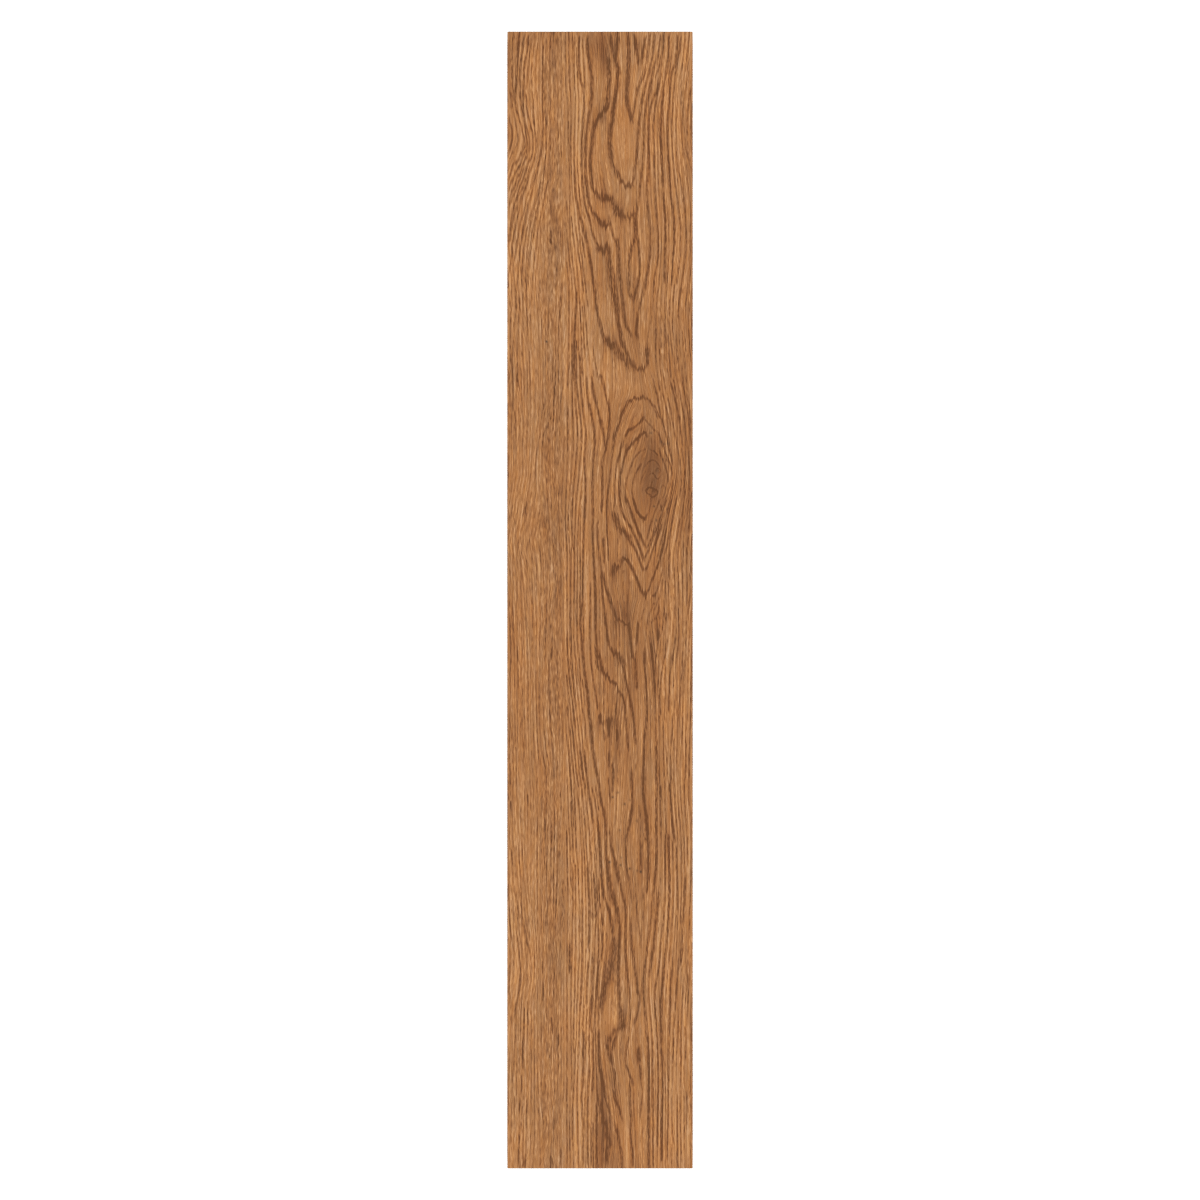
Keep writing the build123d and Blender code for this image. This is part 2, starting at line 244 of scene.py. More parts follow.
0.92 0.80 | 55.4,-191.4 55.6,-204.4 56.1,-218.9 56.1,-235.1 55.6,-249.7 55.1,-262.7 54.2,-274 53.1,-283.7 52.1,-293.4 51,-304.7 49.8,-316.1
0.82 0.56 | 61.9,-199.5 62.1,-212.5 62.5,-227 62.7,-240 62.7,-252.9
0.72 0.52 | 70.8,-193 70.8,-204.4 70.8,-215.7
0.87 0.74 | 69.2,-223.8 68.6,-235.1 68.2,-244.8 67.6,-257.8 66.8,-270.7 66,-282.1 65.2,-293.4
0.60 0.56 | 34.8,-235.1 35.2,-243.2 34.9,-254.6 34.1,-267.5 32.8,-278.8
0.50 0.61 | 29.5,-241.6 30.2,-252.9 31.2,-264.3 32.3,-274 33.2,-282.1
0.75 0.86 | 24.7,-257.8 24.9,-269.1 25.6,-278.8 26.6,-286.9 27.5,-293.4 28.3,-301.5
0.75 2.07 | 12.1,-275.6 11.3,-283.7 10.1,-291.8 8.1,-300.7 5.7,-309.6 2.8,-318.5 0.8,-326.6 -0.4,-333.1
0.70 0.80 | 4,-293.4 3.2,-301.5 2.8,-309.6 2,-317.7
0.55 0.56 | 5.3,-280.5 4.5,-288.6 4.5,-296.6
0.90 0.74 | -0.8,-293.4 -1.7,-303.1 -2.5,-312.8 -2.8,-322.5
0.90 0.74 | -9.3,-293.4 -10.1,-304.7 -10.7,-316.1 -10.9,-327.4
0.70 0.52 | -0.4,-322.5 -0.8,-333.9 -1.6,-343.6
0.85 0.74 | -7.7,-337.1 -7.7,-345.2 -5.7,-352.1
0.70 0.52 | -15.8,-329 -16.2,-337.1
0.79 2.07 | 16.2,-328.2 17.4,-334.7 18.2,-342 17.4,-346.8
0.70 1.89 | 17.8,-345.6 13.8,-347.6 9.7,-351.3 7.3,-356.5
0.80 1.05 | 7.3,-356.5 5.3,-359.8 6.9,-365.8 8.5,-370.7 10.1,-374.8
0.80 0.92 | 13,-353.3 11.3,-359.8 9.7,-366.3
0.70 0.61 | 23.9,-320.9 24.5,-329 24.5,-337.1 23.8,-346.8 22.7,-356.5 21.4,-366.3 20.2,-374.3
0.85 0.92 | 28.3,-301.5 29.5,-308.8 29.9,-314.5 31.6,-320.9
0.60 0.66 | 35.6,-303.1 34.1,-311.2 32.4,-320.9 31.1,-329 29.8,-334.7 28.3,-338.7 26.7,-345.2
0.75 0.80 | 36,-298.3 35.7,-308 35.2,-316.1 35.4,-324.2 36.2,-332.3 36.9,-338.7 37.6,-346.8
1.00 0.86 | 37.6,-346.8 38.4,-356.5 39.1,-367.9 39.3,-379.2 39.3,-388.9 39.3,-400.2 39.3,-413.2 39.3,-426.1 39.3,-439.1 39.3,-453.7 39.3,-460.1
0.60 0.56 | 39.7,-303.1 39.5,-312.8 39.9,-322.5 40.8,-332.3 41.6,-342 42.1,-351.7
0.75 0.74 | 42.5,-351.7 42.5,-363 42.5,-376 42.6,-390.5 42.9,-405.1 43.1,-419.7 43,-434.2 43,-447.2 43.3,-458.5
0.82 0.56 | 44.1,-322.5 44.7,-332.3 45.4,-343.6 45.9,-354.9 46.5,-366.3
0.77 0.56 | 46.5,-366.3 47.1,-380.8 47.2,-397 46.9,-411.6 46.6,-426.1 46.5,-442.3
1.00 0.86 | 49.8,-316.1 49.2,-325.8 49.2,-337.1 49.6,-348.4 49.8,-359.8
0.97 0.74 | 49.8,-359.8 50.2,-372.7 50.5,-388.9 50.4,-401.9 49.8,-413.2
1.00 0.80 | 49.8,-413.2 49.8,-426.1 49.8,-439.1 49.8,-453.7
0.87 0.74 | 58.7,-293.4 57.9,-303.1 57.2,-314.5 56.7,-325.8 56.2,-338.7 55.6,-351.7 55.4,-364.6 55.4,-377.6 55.4,-390.5
0.77 0.52 | 55.4,-390.5 55.3,-405.1 55,-419.7 54.7,-435.9 54.6,-452
0.82 0.56 | 63.5,-293.4 62.5,-304.7 61.8,-316.1 61.1,-327.4 60.3,-337.1 59.7,-348.4 59.3,-361.4 58.7,-372.7
0.67 0.52 | 70.8,-303.1 70,-314.5 68.8,-327.4
0.67 0.52 | 63.5,-342 62.7,-356.5 61.9,-369.5
0.72 0.52 | 68.4,-343.6 69.2,-356.5 69.2,-372.7
0.62 0.52 | 57.9,-397 58.1,-413.2 58.5,-429.4 59.9,-442.3
0.72 0.52 | 62.7,-400.2 62.7,-414.8 62.7,-432.6 62.7,-448.8
0.62 0.52 | 70,-397 70.4,-411.6 70,-427.8
0.72 0.52 | 62.3,-445.6 62.7,-458.5
0.72 0.52 | 73.3,-385.7 73.3,-398.6
1.00 0.80 | -13.4,-348.4 -13.4,-358.2 -13.4,-369.5 -13.5,-380.8 -13.8,-388.9
0.85 0.74 | -13.8,-388.9 -14.7,-397 -14.8,-405.1 -14.2,-416.4 -13.7,-427.8 -13.6,-439.1 -13.5,-450.4 -13.4,-458.5
0.85 0.74 | -5.3,-351.7 -5.7,-361.4 -5.5,-371.1 -5.4,-379.2 -5.8,-388.9 -6.5,-398.6
0.55 0.56 | -6.9,-398.6 -6.9,-410 -6.9,-424.5
1.00 0.86 | -1.2,-348.4 -1.2,-358.2 -1,-367.9 -0.4,-376
0.80 0.98 | -0.8,-376 0.8,-382.4 2,-388.9 3.2,-395.4 4,-401.9
0.55 0.66 | 4,-401.9 5.8,-408.7 7.8,-415.2 10.1,-420.9 12.5,-427
0.90 0.80 | -8.5,-377.6 -9.3,-390.5 -9.9,-401.9 -10.1,-413.2 -10.1,-427.8 -10.1,-442.3 -10.1,-456.9
0.75 0.56 | -17.8,-377.6 -18.3,-388.9 -18.6,-397 -18.4,-406.7 -18.2,-421.3 -18,-437.5 -17.6,-450.4 -17.4,-458.5
0.75 0.56 | -19.8,-356.5 -20.2,-369.5 -20.6,-380.8 -21.2,-393.8 -22,-406.7 -22.3,-421.3 -22.3,-435.9
0.78 0.86 | -6.9,-426.1 -6.9,-439.1 -6.9,-455.3
0.74 0.86 | -2.8,-410 -2.8,-422.9 -2.8,-435.9 -2.8,-448.8 -2.8,-458.5
0.58 1.55 | 0.4,-405.1 0.8,-414.8 3.2,-422.9
0.62 1.55 | 4.5,-422.9 5.7,-429.4 6.5,-435.9 8.1,-442.3
0.95 0.86 | 13,-427 14.2,-431.8 15.3,-436.7 16.3,-442.3 17.1,-446.4 17.4,-452 17.4,-459.3
0.80 0.86 | 10.9,-396.6 12.3,-403.5 14.2,-410 16,-414.8 17.4,-420.5
0.70 0.61 | 10.9,-378 12.1,-384.1 12.1,-392.2
0.75 0.80 | 20.6,-374.3 22.4,-379.2 24.3,-384.5 26,-388.9 27.1,-395.4
0.80 0.92 | 31.2,-363 31.6,-369.5 32.8,-376
0.75 0.92 | 32.4,-376 32.8,-385.7 34.4,-393.8
0.80 0.80 | 24.3,-388.9 24.3,-401.9 24.7,-413.2
1.00 0.80 | 24.7,-413.2 25.5,-421.3
0.85 0.80 | 25.1,-421.3 25,-429.4 25.5,-439.1 26.1,-447.2 26.3,-456.9
0.55 0.56 | 26.7,-398.6 27.4,-410 28,-421.3 28.5,-434.2 28.7,-445.6
0.60 0.61 | 34.4,-393.8 34,-401.9 33.1,-410 32.4,-418.1
0.50 0.56 | 34.8,-426.1 34,-432.6 32.8,-439.1
0.66 0.98 | 6.1,-440.7 5.3,-453.7
0.92 0.74 | -39.7,297.5 -39.7,289.4
0.82 0.56 | -43.3,391.3 -43.3,384.9
0.82 0.52 | -65.2,245.7 -65.2,232.7
0.72 0.52 | -68,242.4 -68.4,227.8
0.87 0.74 | -66.8,189 -66.8,179.3 -66,169.6
0.72 0.52 | -73.3,174.4 -72.8,164.7
0.57 0.56 | -45.7,158.2 -45.7,151.8
0.47 0.70 | -39.7,147.3 -43.3,140 -45.3,132.7 -46.5,124.2
0.92 0.74 | -59.9,78.1 -61.1,72.4 -62.3,68.8
0.65 0.52 | -23.1,43.3 -23.5,35.2
0.67 0.52 | -66.8,-37.6 -66.4,-50.6
0.72 0.56 | -39.3,-37.6 -39.7,-45.7
0.72 0.52 | -45.7,-126.7 -44.5,-134.8 -43.3,-144.5
0.72 0.52 | -42.5,-125.1 -41.3,-134.8
0.72 0.52 | -72.4,-134.8 -72.4,-149.3
0.77 0.52 | -72.4,-162.3 -72,-172
0.72 0.52 | -58.7,-157.4 -58.3,-167.1
0.65 0.52 | -32,-157.4 -31.2,-168.8
0.87 0.68 | -39.3,-188.2 -39.3,-199.5
0.72 0.52 | -71.6,-202.8 -70.8,-215.7
0.67 0.52 | -43.3,-214.1 -43.3,-228.7
0.72 0.52 | -37.6,-217.3 -37.6,-230.3
0.72 0.52 | -74.1,-230.3 -73.9,-246.5 -73.1,-259.4 -71.9,-270.7 -70.5,-280.5 -69.2,-286.9
0.67 0.52 | -70,-231.9 -67.2,-243.2 -65.6,-254.6
0.67 0.52 | -63.5,-244.8 -62.6,-256.2 -61,-267.9 -58.3,-278.8
0.82 0.56 | -43.3,-254.6 -43.7,-264.3
0.82 0.52 | -66.8,-272.4 -65.9,-282.1 -65,-291.8 -64.3,-301.5
0.75 0.74 | -64.3,-301.5 -65.1,-312.8 -66,-320.9 -67.4,-325 -68.4,-329 -68.5,-335.5 -68.4,-340.4
0.60 0.52 | -72.8,-293.4 -73.4,-304.7 -73.4,-316.1 -73.3,-324.2
0.82 0.56 | -45.7,-312.8 -46.5,-324.2
0.60 0.52 | -68.4,-342 -68.5,-351.7 -69,-361.4 -70,-372.7
0.72 0.52 | -69.6,-372.7 -70,-384.1
0.82 0.52 | -61.1,-330.6 -61.5,-343.6 -61.9,-354.9
0.92 0.74 | -61.9,-354.9 -62.5,-363 -62.5,-371.1 -61.9,-379.2
0.72 0.52 | -58.7,-325.8 -58.7,-337.1 -57.9,-345.2
0.72 0.52 | -53,-286.9 -52.6,-298.3
0.67 0.52 | -46.5,-290.2 -46.5,-304.7
0.67 0.52 | -33.6,-350.1 -33.6,-361.4
0.77 0.52 | -39.3,-337.1 -38.4,-348.4
0.77 0.52 | -63.5,-385.7 -63.5,-397
0.82 0.56 | -64.3,-403.5 -65.6,-414.8
0.82 0.56 | -63.9,-424.5 -65.2,-434.2 -65.6,-442.3
0.87 0.74 | -66,-442.3 -65.6,-458.5
0.77 0.52 | -69.2,-405.1 -69.2,-419.7
0.77 0.52 | -58.7,-401.9 -59.5,-414.8 -59.5,-427.8
0.67 0.52 | -50.2,-409.6 -48.6,-419.7
0.72 0.52 | -37.6,-418.1 -37.6,-431
0.87 0.74 | -62.3,-458.5 -60.3,-452
0.70 0.56 | -31.6,-445.6 -32,-456.9
0.87 0.74 | -39.3,-450.4 -39.3,-458.5
0.65 0.52 | -21.9,-356.5 -20.6,-369.5
0.80 0.43 | 36.8,88.6 38,90 39.7,90.9 41.7,90.7 43.7,89.8 45.7,89 46.5,87.8
0.60 0.42 | 36.8,88.6 37.8,86.8 39.7,85.6 41.3,85
0.60 0.42 | 40.5,83.8 42.5,83.4 44.5,84.2 46.1,85.8 46.5,87.8
0.28 0.42 | 41.7,87.4 43.3,88.2 44.9,87.6
0.28 0.42 | 41.9,100 41.9,97.5 41.9,95.1
0.50 0.42 | 42.1,95.9 41.7,93.1 41.3,90.7
0.40 0.42 | 40.9,82.6 41.1,80.5 41.1,78.1
0.60 0.42 | 29.5,115.7 30.2,117.8 31.4,119.4 33.6,121 35.2,122 36.8,122.4
0.35 0.42 | 39.3,122 41.7,121.4 43.3,120.8
0.72 0.42 | 43.3,120.8 44.9,119.4 45.9,118.2 46.9,117.2
0.50 0.42 | 38,110.1 38.9,111.5 40.5,112.5 42.1,113.3 44.1,112.9 45.7,111.7
0.42 0.42 | 45.7,111.7 47.3,109.7 48.6,107.2
0.35 0.42 | 38,110.1 36.8,108.5 36,107.2
0.50 0.42 | 39.7,100.8 40.7,102 42.1,102.6 43.5,102 44.5,100.4 45.9,98.5 46.9,98.1 48.2,99.2 49,100.6
0.40 0.42 | 45.3,103.6 45.1,105 45.9,106.2 47.1,106.6 48.6,105.8 49,104.4 48.2,103 46.7,102.8
0.42 0.42 | 49,90.2 51,92.7 53,90.2 52.2,85.4 49.4,81.3
0.45 0.42 | 36.8,104.4 35.9,102.6 34.9,100.8 33.9,98.7 33.1,96.3 32.4,93.5
0.67 0.50 | 46.5,136.4 48.7,131.5 50.5,125.9 52.7,119.8 55.2,114.1 57.3,107.7 58.7,100
0.57 0.50 | 47.8,123.8 49.5,117.4 51.5,111.7 53.5,106 54.8,100 55.4,93.5
0.79 0.52 | 43.3,177.7 46,165.5 48.3,153.4 49.8,146.9
0.67 0.52 | 49,177.7 51.8,163.1 54.1,149.3 55.5,135.6 56.8,122.6 58.3,111.3
0.67 0.52 | 56.3,179.3 59.9,165.9 62.7,152.2 65,139.2 66.8,125.5
0.67 0.52 | 66.8,178.1 69.1,163.1 71.1,151.8 72.6,138.8 73.7,125.1
0.62 0.50 | 58.7,96.7 57.7,87 56.1,78.5 53.8,71.2
0.57 0.50 | 55.4,91.9 54.1,84.6 51.7,77.3 48.6,72
0.67 0.52 | 59.1,93.5 58.3,85.4 56.6,77.7 54.2,69.6
0.67 0.52 | 48.2,80.9 45.6,74.5 43.1,67.2 40.7,60.7 38,48.6
0.79 0.52 | 53.4,80.5 49.2,64.3 45.2,48.2 41.2,35.2 36.8,23.9
0.67 0.52 | 57.9,80.9 53.4,62.7 49.3,46.5 45.7,30.4
0.67 0.52 | 62.3,84.2 59.7,70.8 57,57.9 54.4,44.9 51.8,32
0.67 0.52 | 74.1,87 72.4,66 70.8,44.1
0.72 0.50 | 49.4,149.3 49.7,146.9 50.2,144.5 50.2,142
0.72 0.50 | -72.8,412.4 -71.2,401.1 -69.5,392.2 -67.7,383.3 -66.4,375.2 -66.8,368.7 -69.4,363 -73.3,357.4
0.77 0.50 | -70,414 -68.5,400.7 -66,390.1 -63,381.6 -61.4,373.5 -61.8,367.1 -64.2,360.6 -68,354.1 -72,347.6
0.72 0.50 | -64.3,416.4 -63.8,403.5 -62.4,393 -60.7,384.1 -59.5,376 -59.8,368.7 -62.3,362.6 -66.4,356.1 -70.4,348.4 -73.7,341.2
0.82 0.50 | -64.3,404.3 -62.3,392.2 -60.4,381.2 -59.1,373.5 -59.4,365.4 -62,357.8 -66.3,349.7 -70.4,341.2 -73.7,332.3
0.77 0.50 | -61.9,416.4 -62.2,400.2 -61,389.3 -58.6,380 -57,371.9 -57.6,363.4 -60.4,355.7 -64.7,346.8 -69.1,337.1 -72.3,326.2 -73.7,317.7
0.82 0.50 | -59.9,408.3 -58.9,396.2 -56.8,386.5 -54.7,377.6 -54.1,369.5 -55.2,360.6 -58.1,352.1 -61.9,342 -66,331 -69.7,317.7 -72.3,303.9 -73.7,289.4
0.77 0.50 | -53.8,404.3 -53.9,393 -53.1,382.4 -51.9,372.7 -51.9,363.8 -53.8,354.5 -57.2,344 -61.2,331.9 -65.3,318.1 -68.6,302.7 -70.9,286.1 -72.4,273.2
0.77 0.50 | -45.7,448.8 -46.4,428.6 -46.7,408.3 -46.4,392.2 -46.1,380 -46.8,367.9 -48.7,357.4 -51.2,346.8 -54.2,334.7 -57.7,320.9 -61.2,306.4 -63.9,291 -65.6,274.8 -66.8,261.8
0.67 0.50 | -44.1,435.1 -44.7,416.4 -44.5,400.2 -43.8,384.1 -43.8,367.9 -44.8,355.7 -46.9,343.6 -50.5,329.8 -54.9,315.3 -58.9,301.1 -61.3,286.1 -62.6,271.6 -63.5,257
0.72 0.50 | -44.1,363.8 -44.8,350.9 -46.5,337.1 -49.4,323.4 -52.5,308.8 -55.2,294.2 -57.3,279.6 -58.6,265.1 -59.5,250.5
0.62 0.50 | -41.3,346 -43.5,333.1 -46,320.1 -48.6,307.2 -50.8,294.2 -52.6,279.6 -54,265.1 -55,250.5
0.67 0.50 | -61.1,349.7 -65.8,339.5 -69.7,328.6 -72.8,318.1
0.67 0.50 | -56.7,349.3 -62.3,334.7 -67.4,319.7 -70.9,304.7 -73.3,289.8
0.67 0.50 | -52.2,349.3 -56.6,333.9 -60.8,318.5 -64.7,303.5 -67.4,288.6 -69.2,273.2
0.67 0.50 | -50.2,349.7 -53.5,335.1 -57,320.5 -60.3,305.5 -63.2,291.4 -65.4,276.4 -66.8,261.8
0.67 0.50 | -45.3,349.3 -48.1,335.9 -51.4,323 -54.7,310 -57.3,296.6 -58.8,283.3 -59.6,269.9 -60.3,257
0.67 0.50 | -44.5,346 -46.7,333.1 -49.3,320.1 -51.7,307.2 -53.9,293.8 -56.2,280.9 -57.9,267.9 -58.7,254.6
0.57 0.50 | -72.8,384.9 -71.5,378.4 -71.4,372.7 -72.8,366.7
0.62 0.50 | -73.7,394.6 -72.8,387.7 -71.5,381.2 -70.7,375.2 -71.3,369.9 -73.3,364.2
0.65 0.66 | 10.1,-7.7 12.1,-12.5 14.2,-15.8 17,-17.8 20.2,-19 22.7,-20.2 24.3,-23.1
0.60 0.56 | 24.3,-33.2 26.7,-42.5 28.3,-50.6
0.50 0.50 | 45.3,-2.8 42,-7.7 39.6,-13.4 38,-19.8 37.1,-27.9 36.8,-36
0.52 0.50 | 48.6,2.4 46.1,-3.6 43.8,-10.1 41.7,-17
0.35 0.50 | 38,-21 40.1,-17 43.7,-15.8 46.1,-19 45.3,-22.7
0.57 0.52 | 49.8,-24.7 47.5,-34 45.6,-44.9 44.6,-55.4 44.4,-65.2 44.9,-74.9
0.55 0.56 | 3.6,-78.9 3.6,-87.8 4.5,-97.5
0.55 0.56 | 6.9,-83.8 6.9,-93.5 6.9,-99.2
0.55 0.56 | 13.4,-83.8 13.4,-93.5 13.4,-104
0.45 0.52 | 12.1,-81.3 12.5,-89.4 12.5,-95.9
0.65 0.42 | -25.5,54.6 -24.3,37.6 -24,18.2 -24.2,-0.4 -24.3,-21.4 -24.1,-32.8 -23.4,-53.8 -22,-68 -20,-85 -18.2,-99.2 -16.8,-115.3 -15.5,-129.9 -13.8,-144.1 -11.7,-157.8
0.65 0.42 | -23.1,37.6 -23.5,18.2 -23.8,-0.4 -23.7,-21.4 -23.1,-32.8
0.65 0.42 | -20.2,-50.6 -18.1,-74.9 -16,-97.5 -14.4,-109.7 -13.4,-121.8
0.60 0.42 | -21.4,-10.1 -21.4,-21.4 -21.4,-32.8
0.60 0.42 | -22.3,119.4 -23.5,97.5 -24.6,87.8 -25.5,72.4
0.70 0.50 | -13.4,104.8 -14.6,93.5 -15.7,83 -16.6,74.9
0.70 0.50 | -12.5,-174.4 -11.7,-188.2 -10.9,-202.8 -10.1,-215.7
0.70 0.50 | -16.2,-180.1 -15.3,-193 -14.6,-204.4 -14.4,-218.9 -14.2,-243.2
0.70 0.50 | -21.4,-150.1 -20.4,-166.3 -19.7,-186.6 -18.8,-202.8 -17.6,-223.8 -16.8,-243.2 -16.6,-263.5 -16.8,-283.7 -17.4,-303.9 -18.2,-324.2
0.55 0.50 | -26.7,-142 -25.9,-162.3 -25,-186.6 -23.9,-202.8
0.65 0.50 | -21.9,-243.2 -22.3,-267.5 -23,-291.8 -23.4,-312 -23.9,-328.2
0.60 0.50 | -2.8,-312 -3.6,-326.6 -4.5,-340.4 -5.3,-350.1
0.65 0.50 | -15.8,-324.2 -16.6,-340.4 -17.4,-360.6 -18.2,-376.8
0.55 0.50 | -23.9,-324.2 -23.6,-348.4 -23.1,-372.7 -23.1,-397
0.75 0.55 | 36,-193.9 36,-192.2 37.2,-191.4 38,-191.8 38.9,-193.9
0.85 0.74 | 2,-257 2,-259.4 2,-261.8
0.70 0.42 | 10.5,-153 10.5,-157
0.55 0.50 | 13.4,-155.8 13.3,-165.5 12.7,-174.4 11.9,-181.7 11.3,-184.9
0.75 0.68 | 7.7,-183.3 8.1,-188.2 8.6,-193.9 9.3,-199.5
0.80 0.43 | 35.4,-193 36,-191.8 37.2,-191.2
1.00 0.62 | 2,-231.1 2.2,-235.1 2.7,-239.2 3.2,-242.8
0.75 0.50 | -1.6,-225.4 -0.9,-233.5 -0.5,-240 -0.2,-246.5 0.4,-251.3
0.70 0.50 | 10.1,-267.5 10.1,-272.4 10.5,-277.2
0.80 0.43 | 33.8,-196.7 34,-199.9
0.50 0.50 | 8.9,-178.5 9.8,-185.8 9.9,-193 9.3,-199.5
0.60 0.52 | -8.1,-162.3 -6.3,-174.4 -5,-186.6 -3.9,-198.7 -2.8,-210.8
0.70 1.72 | 31.2,-363 31.6,-367.9 32,-372.7
0.53 1.31 | 33.6,-380.8 34,-387.3 34.4,-395.4
0.53 0.50 | -70,268.3 -70.9,260.2 -71.8,248.9 -72.3,232.7 -72.5,216.5 -72.6,203.6 -72.4,190.6
0.53 0.50 | -66.4,266.7 -67.4,254.6 -68,242.4 -68.7,227.8 -69.8,214.1 -70.7,200.3 -71.2,189
0.48 0.50 | -65.2,232.7 -65.9,218.1 -66.8,203.6 -67.2,189
0.58 0.50 | -62.3,250.5 -62.6,239.2 -62.6,227.8 -62.3,214.9
0.50 0.50 | -59.5,248.9 -59.1,235.9 -58.9,223 -59.1,208.4
0.46 0.50 | -55.4,248.9 -56.1,234.3 -56.2,218.1 -55.8,203.6
0.58 0.50 | -73.7,192.2 -73.4,179.3 -73,166.3 -72.4,153.4
0.58 0.50 | -70.8,189 -70.6,176 -70.7,163.1 -70.8,151.8
0.58 0.50 | -63.9,187.4 -63.6,174.4 -63.3,161.5 -62.7,151.8
0.53 0.50 | -61.9,192.2 -61.1,179.3 -61.1,166.3
0.53 0.50 | -58.7,193.9 -58.7,180.9 -58.7,166.3
0.50 0.50 | -58.7,192.2 -58.7,179.3 -57.9,164.7
0.53 0.50 | -66,168 -66,155
0.48 0.50 | -71.6,151.8 -71.6,137.2
0.58 0.50 | -68.8,155 -68.4,142 -68.4,134
0.48 0.50 | -62.7,155 -61.9,142 -61.9,132.3
0.48 0.50 | -57.9,153.4 -58.7,137.2
0.50 0.50 | -72.8,-52.2 -72.8,-65.2 -72.4,-76.5
0.53 0.50 | -69.6,-49 -69.2,-61.9 -69.2,-73.3
0.50 0.50 | -66.4,-53.8 -66,-66.8 -66,-76.5
0.43 0.50 | -63.5,-52.2 -63.5,-66.8
0.46 0.50 | -73.3,-91.1 -73.3,-104 -73.3,-117
0.50 0.50 | -71.2,-92.7 -71.2,-105.6 -71.2,-115.3
0.48 0.50 | -68.8,-89.4 -68.8,-104 -68.4,-117
0.46 0.50 | -66.4,-92.7 -66.8,-105.6 -66.4,-120.2
0.43 0.50 | -61.1,-91.1 -60.7,-105.6 -60.3,-118.6
0.40 0.50 | -44.9,-164.7 -44.9,-175.2 -44.9,-186.6
0.42 0.50 | -43.3,-146.1 -43.4,-162.3 -43.7,-178.5 -44.1,-194.7
0.45 0.50 | -40.1,-167.1 -39.7,-180.1 -39.6,-201.1 -40.1,-220.6 -40.7,-235.1 -40.9,-251.3
0.45 0.50 | -37.6,-154.2 -37,-172 -37,-189.8 -37.6,-215.7
0.45 0.50 | -34.4,-167.1 -33.8,-184.9 -33.8,-202.8 -34.3,-220.6 -34.8,-235.1
0.38 0.50 | -46.5,-217.3 -46.5,-230.3 -46.5,-243.2
0.38 0.50 | -37.6,-231.9 -37,-247.3 -36.8,-263.5 -36.8,-275.6
0.38 0.50 | -35.2,-239.2 -36,-255.4 -36,-271.6
0.35 0.50 | -32.4,-174.4 -32.8,-194.7 -32,-210.8
0.57 0.50 | 55.8,30.4 55.5,15.8 55.4,-0.4 55.4,-15
0.57 0.50 | 60.3,27.1 60.4,12.5 60.7,-2 61,-16.6 61.1,-27.9
0.50 0.50 | 66.8,23.9 66.8,7.7 66.8,-10.1 66.8,-27.9
0.52 0.50 | 59.5,-16.6 58.9,-29.5 57.9,-42.5 56.7,-52.6
0.52 0.50 | 53,-73.3 52.2,-86.2 52.2,-97.5
0.52 0.50 | 61.1,-73.3 60.3,-86.2 59.9,-97.5
0.54 0.50 | 70.8,-44.9 71.1,-61.1 71.1,-81.3 70.8,-99.2
0.85 0.62 | -70,458.5 -70.8,451.2 -71.4,443.1 -71.6,436.7
0.80 0.62 | -71.2,431.8 -71.1,422.1 -70.9,412.4 -70.8,402.7
0.85 0.62 | -65.2,457.7 -65.9,449.6 -66.4,441.5 -66.9,433.4 -67.4,423.7 -67.8,415.6 -68.4,407.5
0.90 0.62 | -61.1,456.9 -62.7,446.4 -64.1,435.9 -65,427.8 -65,421.3 -64.5,412.4 -64.3,405.9
0.90 0.62 | -57.9,455.3 -58.8,446.4 -59.9,439.9 -61,432.6 -61.6,425.3 -61.7,419.7 -61.9,414 -62.3,408.3 -62.4,399.4 -61.9,392.2
0.72 0.50 | -55.4,453.7 -56.3,447.6 -57.1,440.7 -57.9,434.2 -58.5,427.8 -58.9,422.1 -59.5,414
0.60 0.50 | -52.2,458.5 -53.4,449.6 -54.5,439.1 -55.2,430.2 -55.4,422.9 -55.4,414
0.48 0.50 | -50.2,451.2 -51.3,443.1 -52,433.4 -52.2,425.3 -52.2,417.2
0.40 0.50 | -48.6,441.5 -48.6,433.4 -48.7,425.3 -49,415.6
"""

# Pale lines between them, the same way.
PALE_LINES = """
0.80 0.65 | 64.3,80.5 62.7,70.8 61.1,60.3 59.5,50.6 58.3,40.1 57.9,27.9 57.9,7.7 57.9,-12.5 57.1,-24.7 55.8,-36.8 54.6,-44.9 52.6,-53 51.8,-65.2 51.4,-77.3
"""

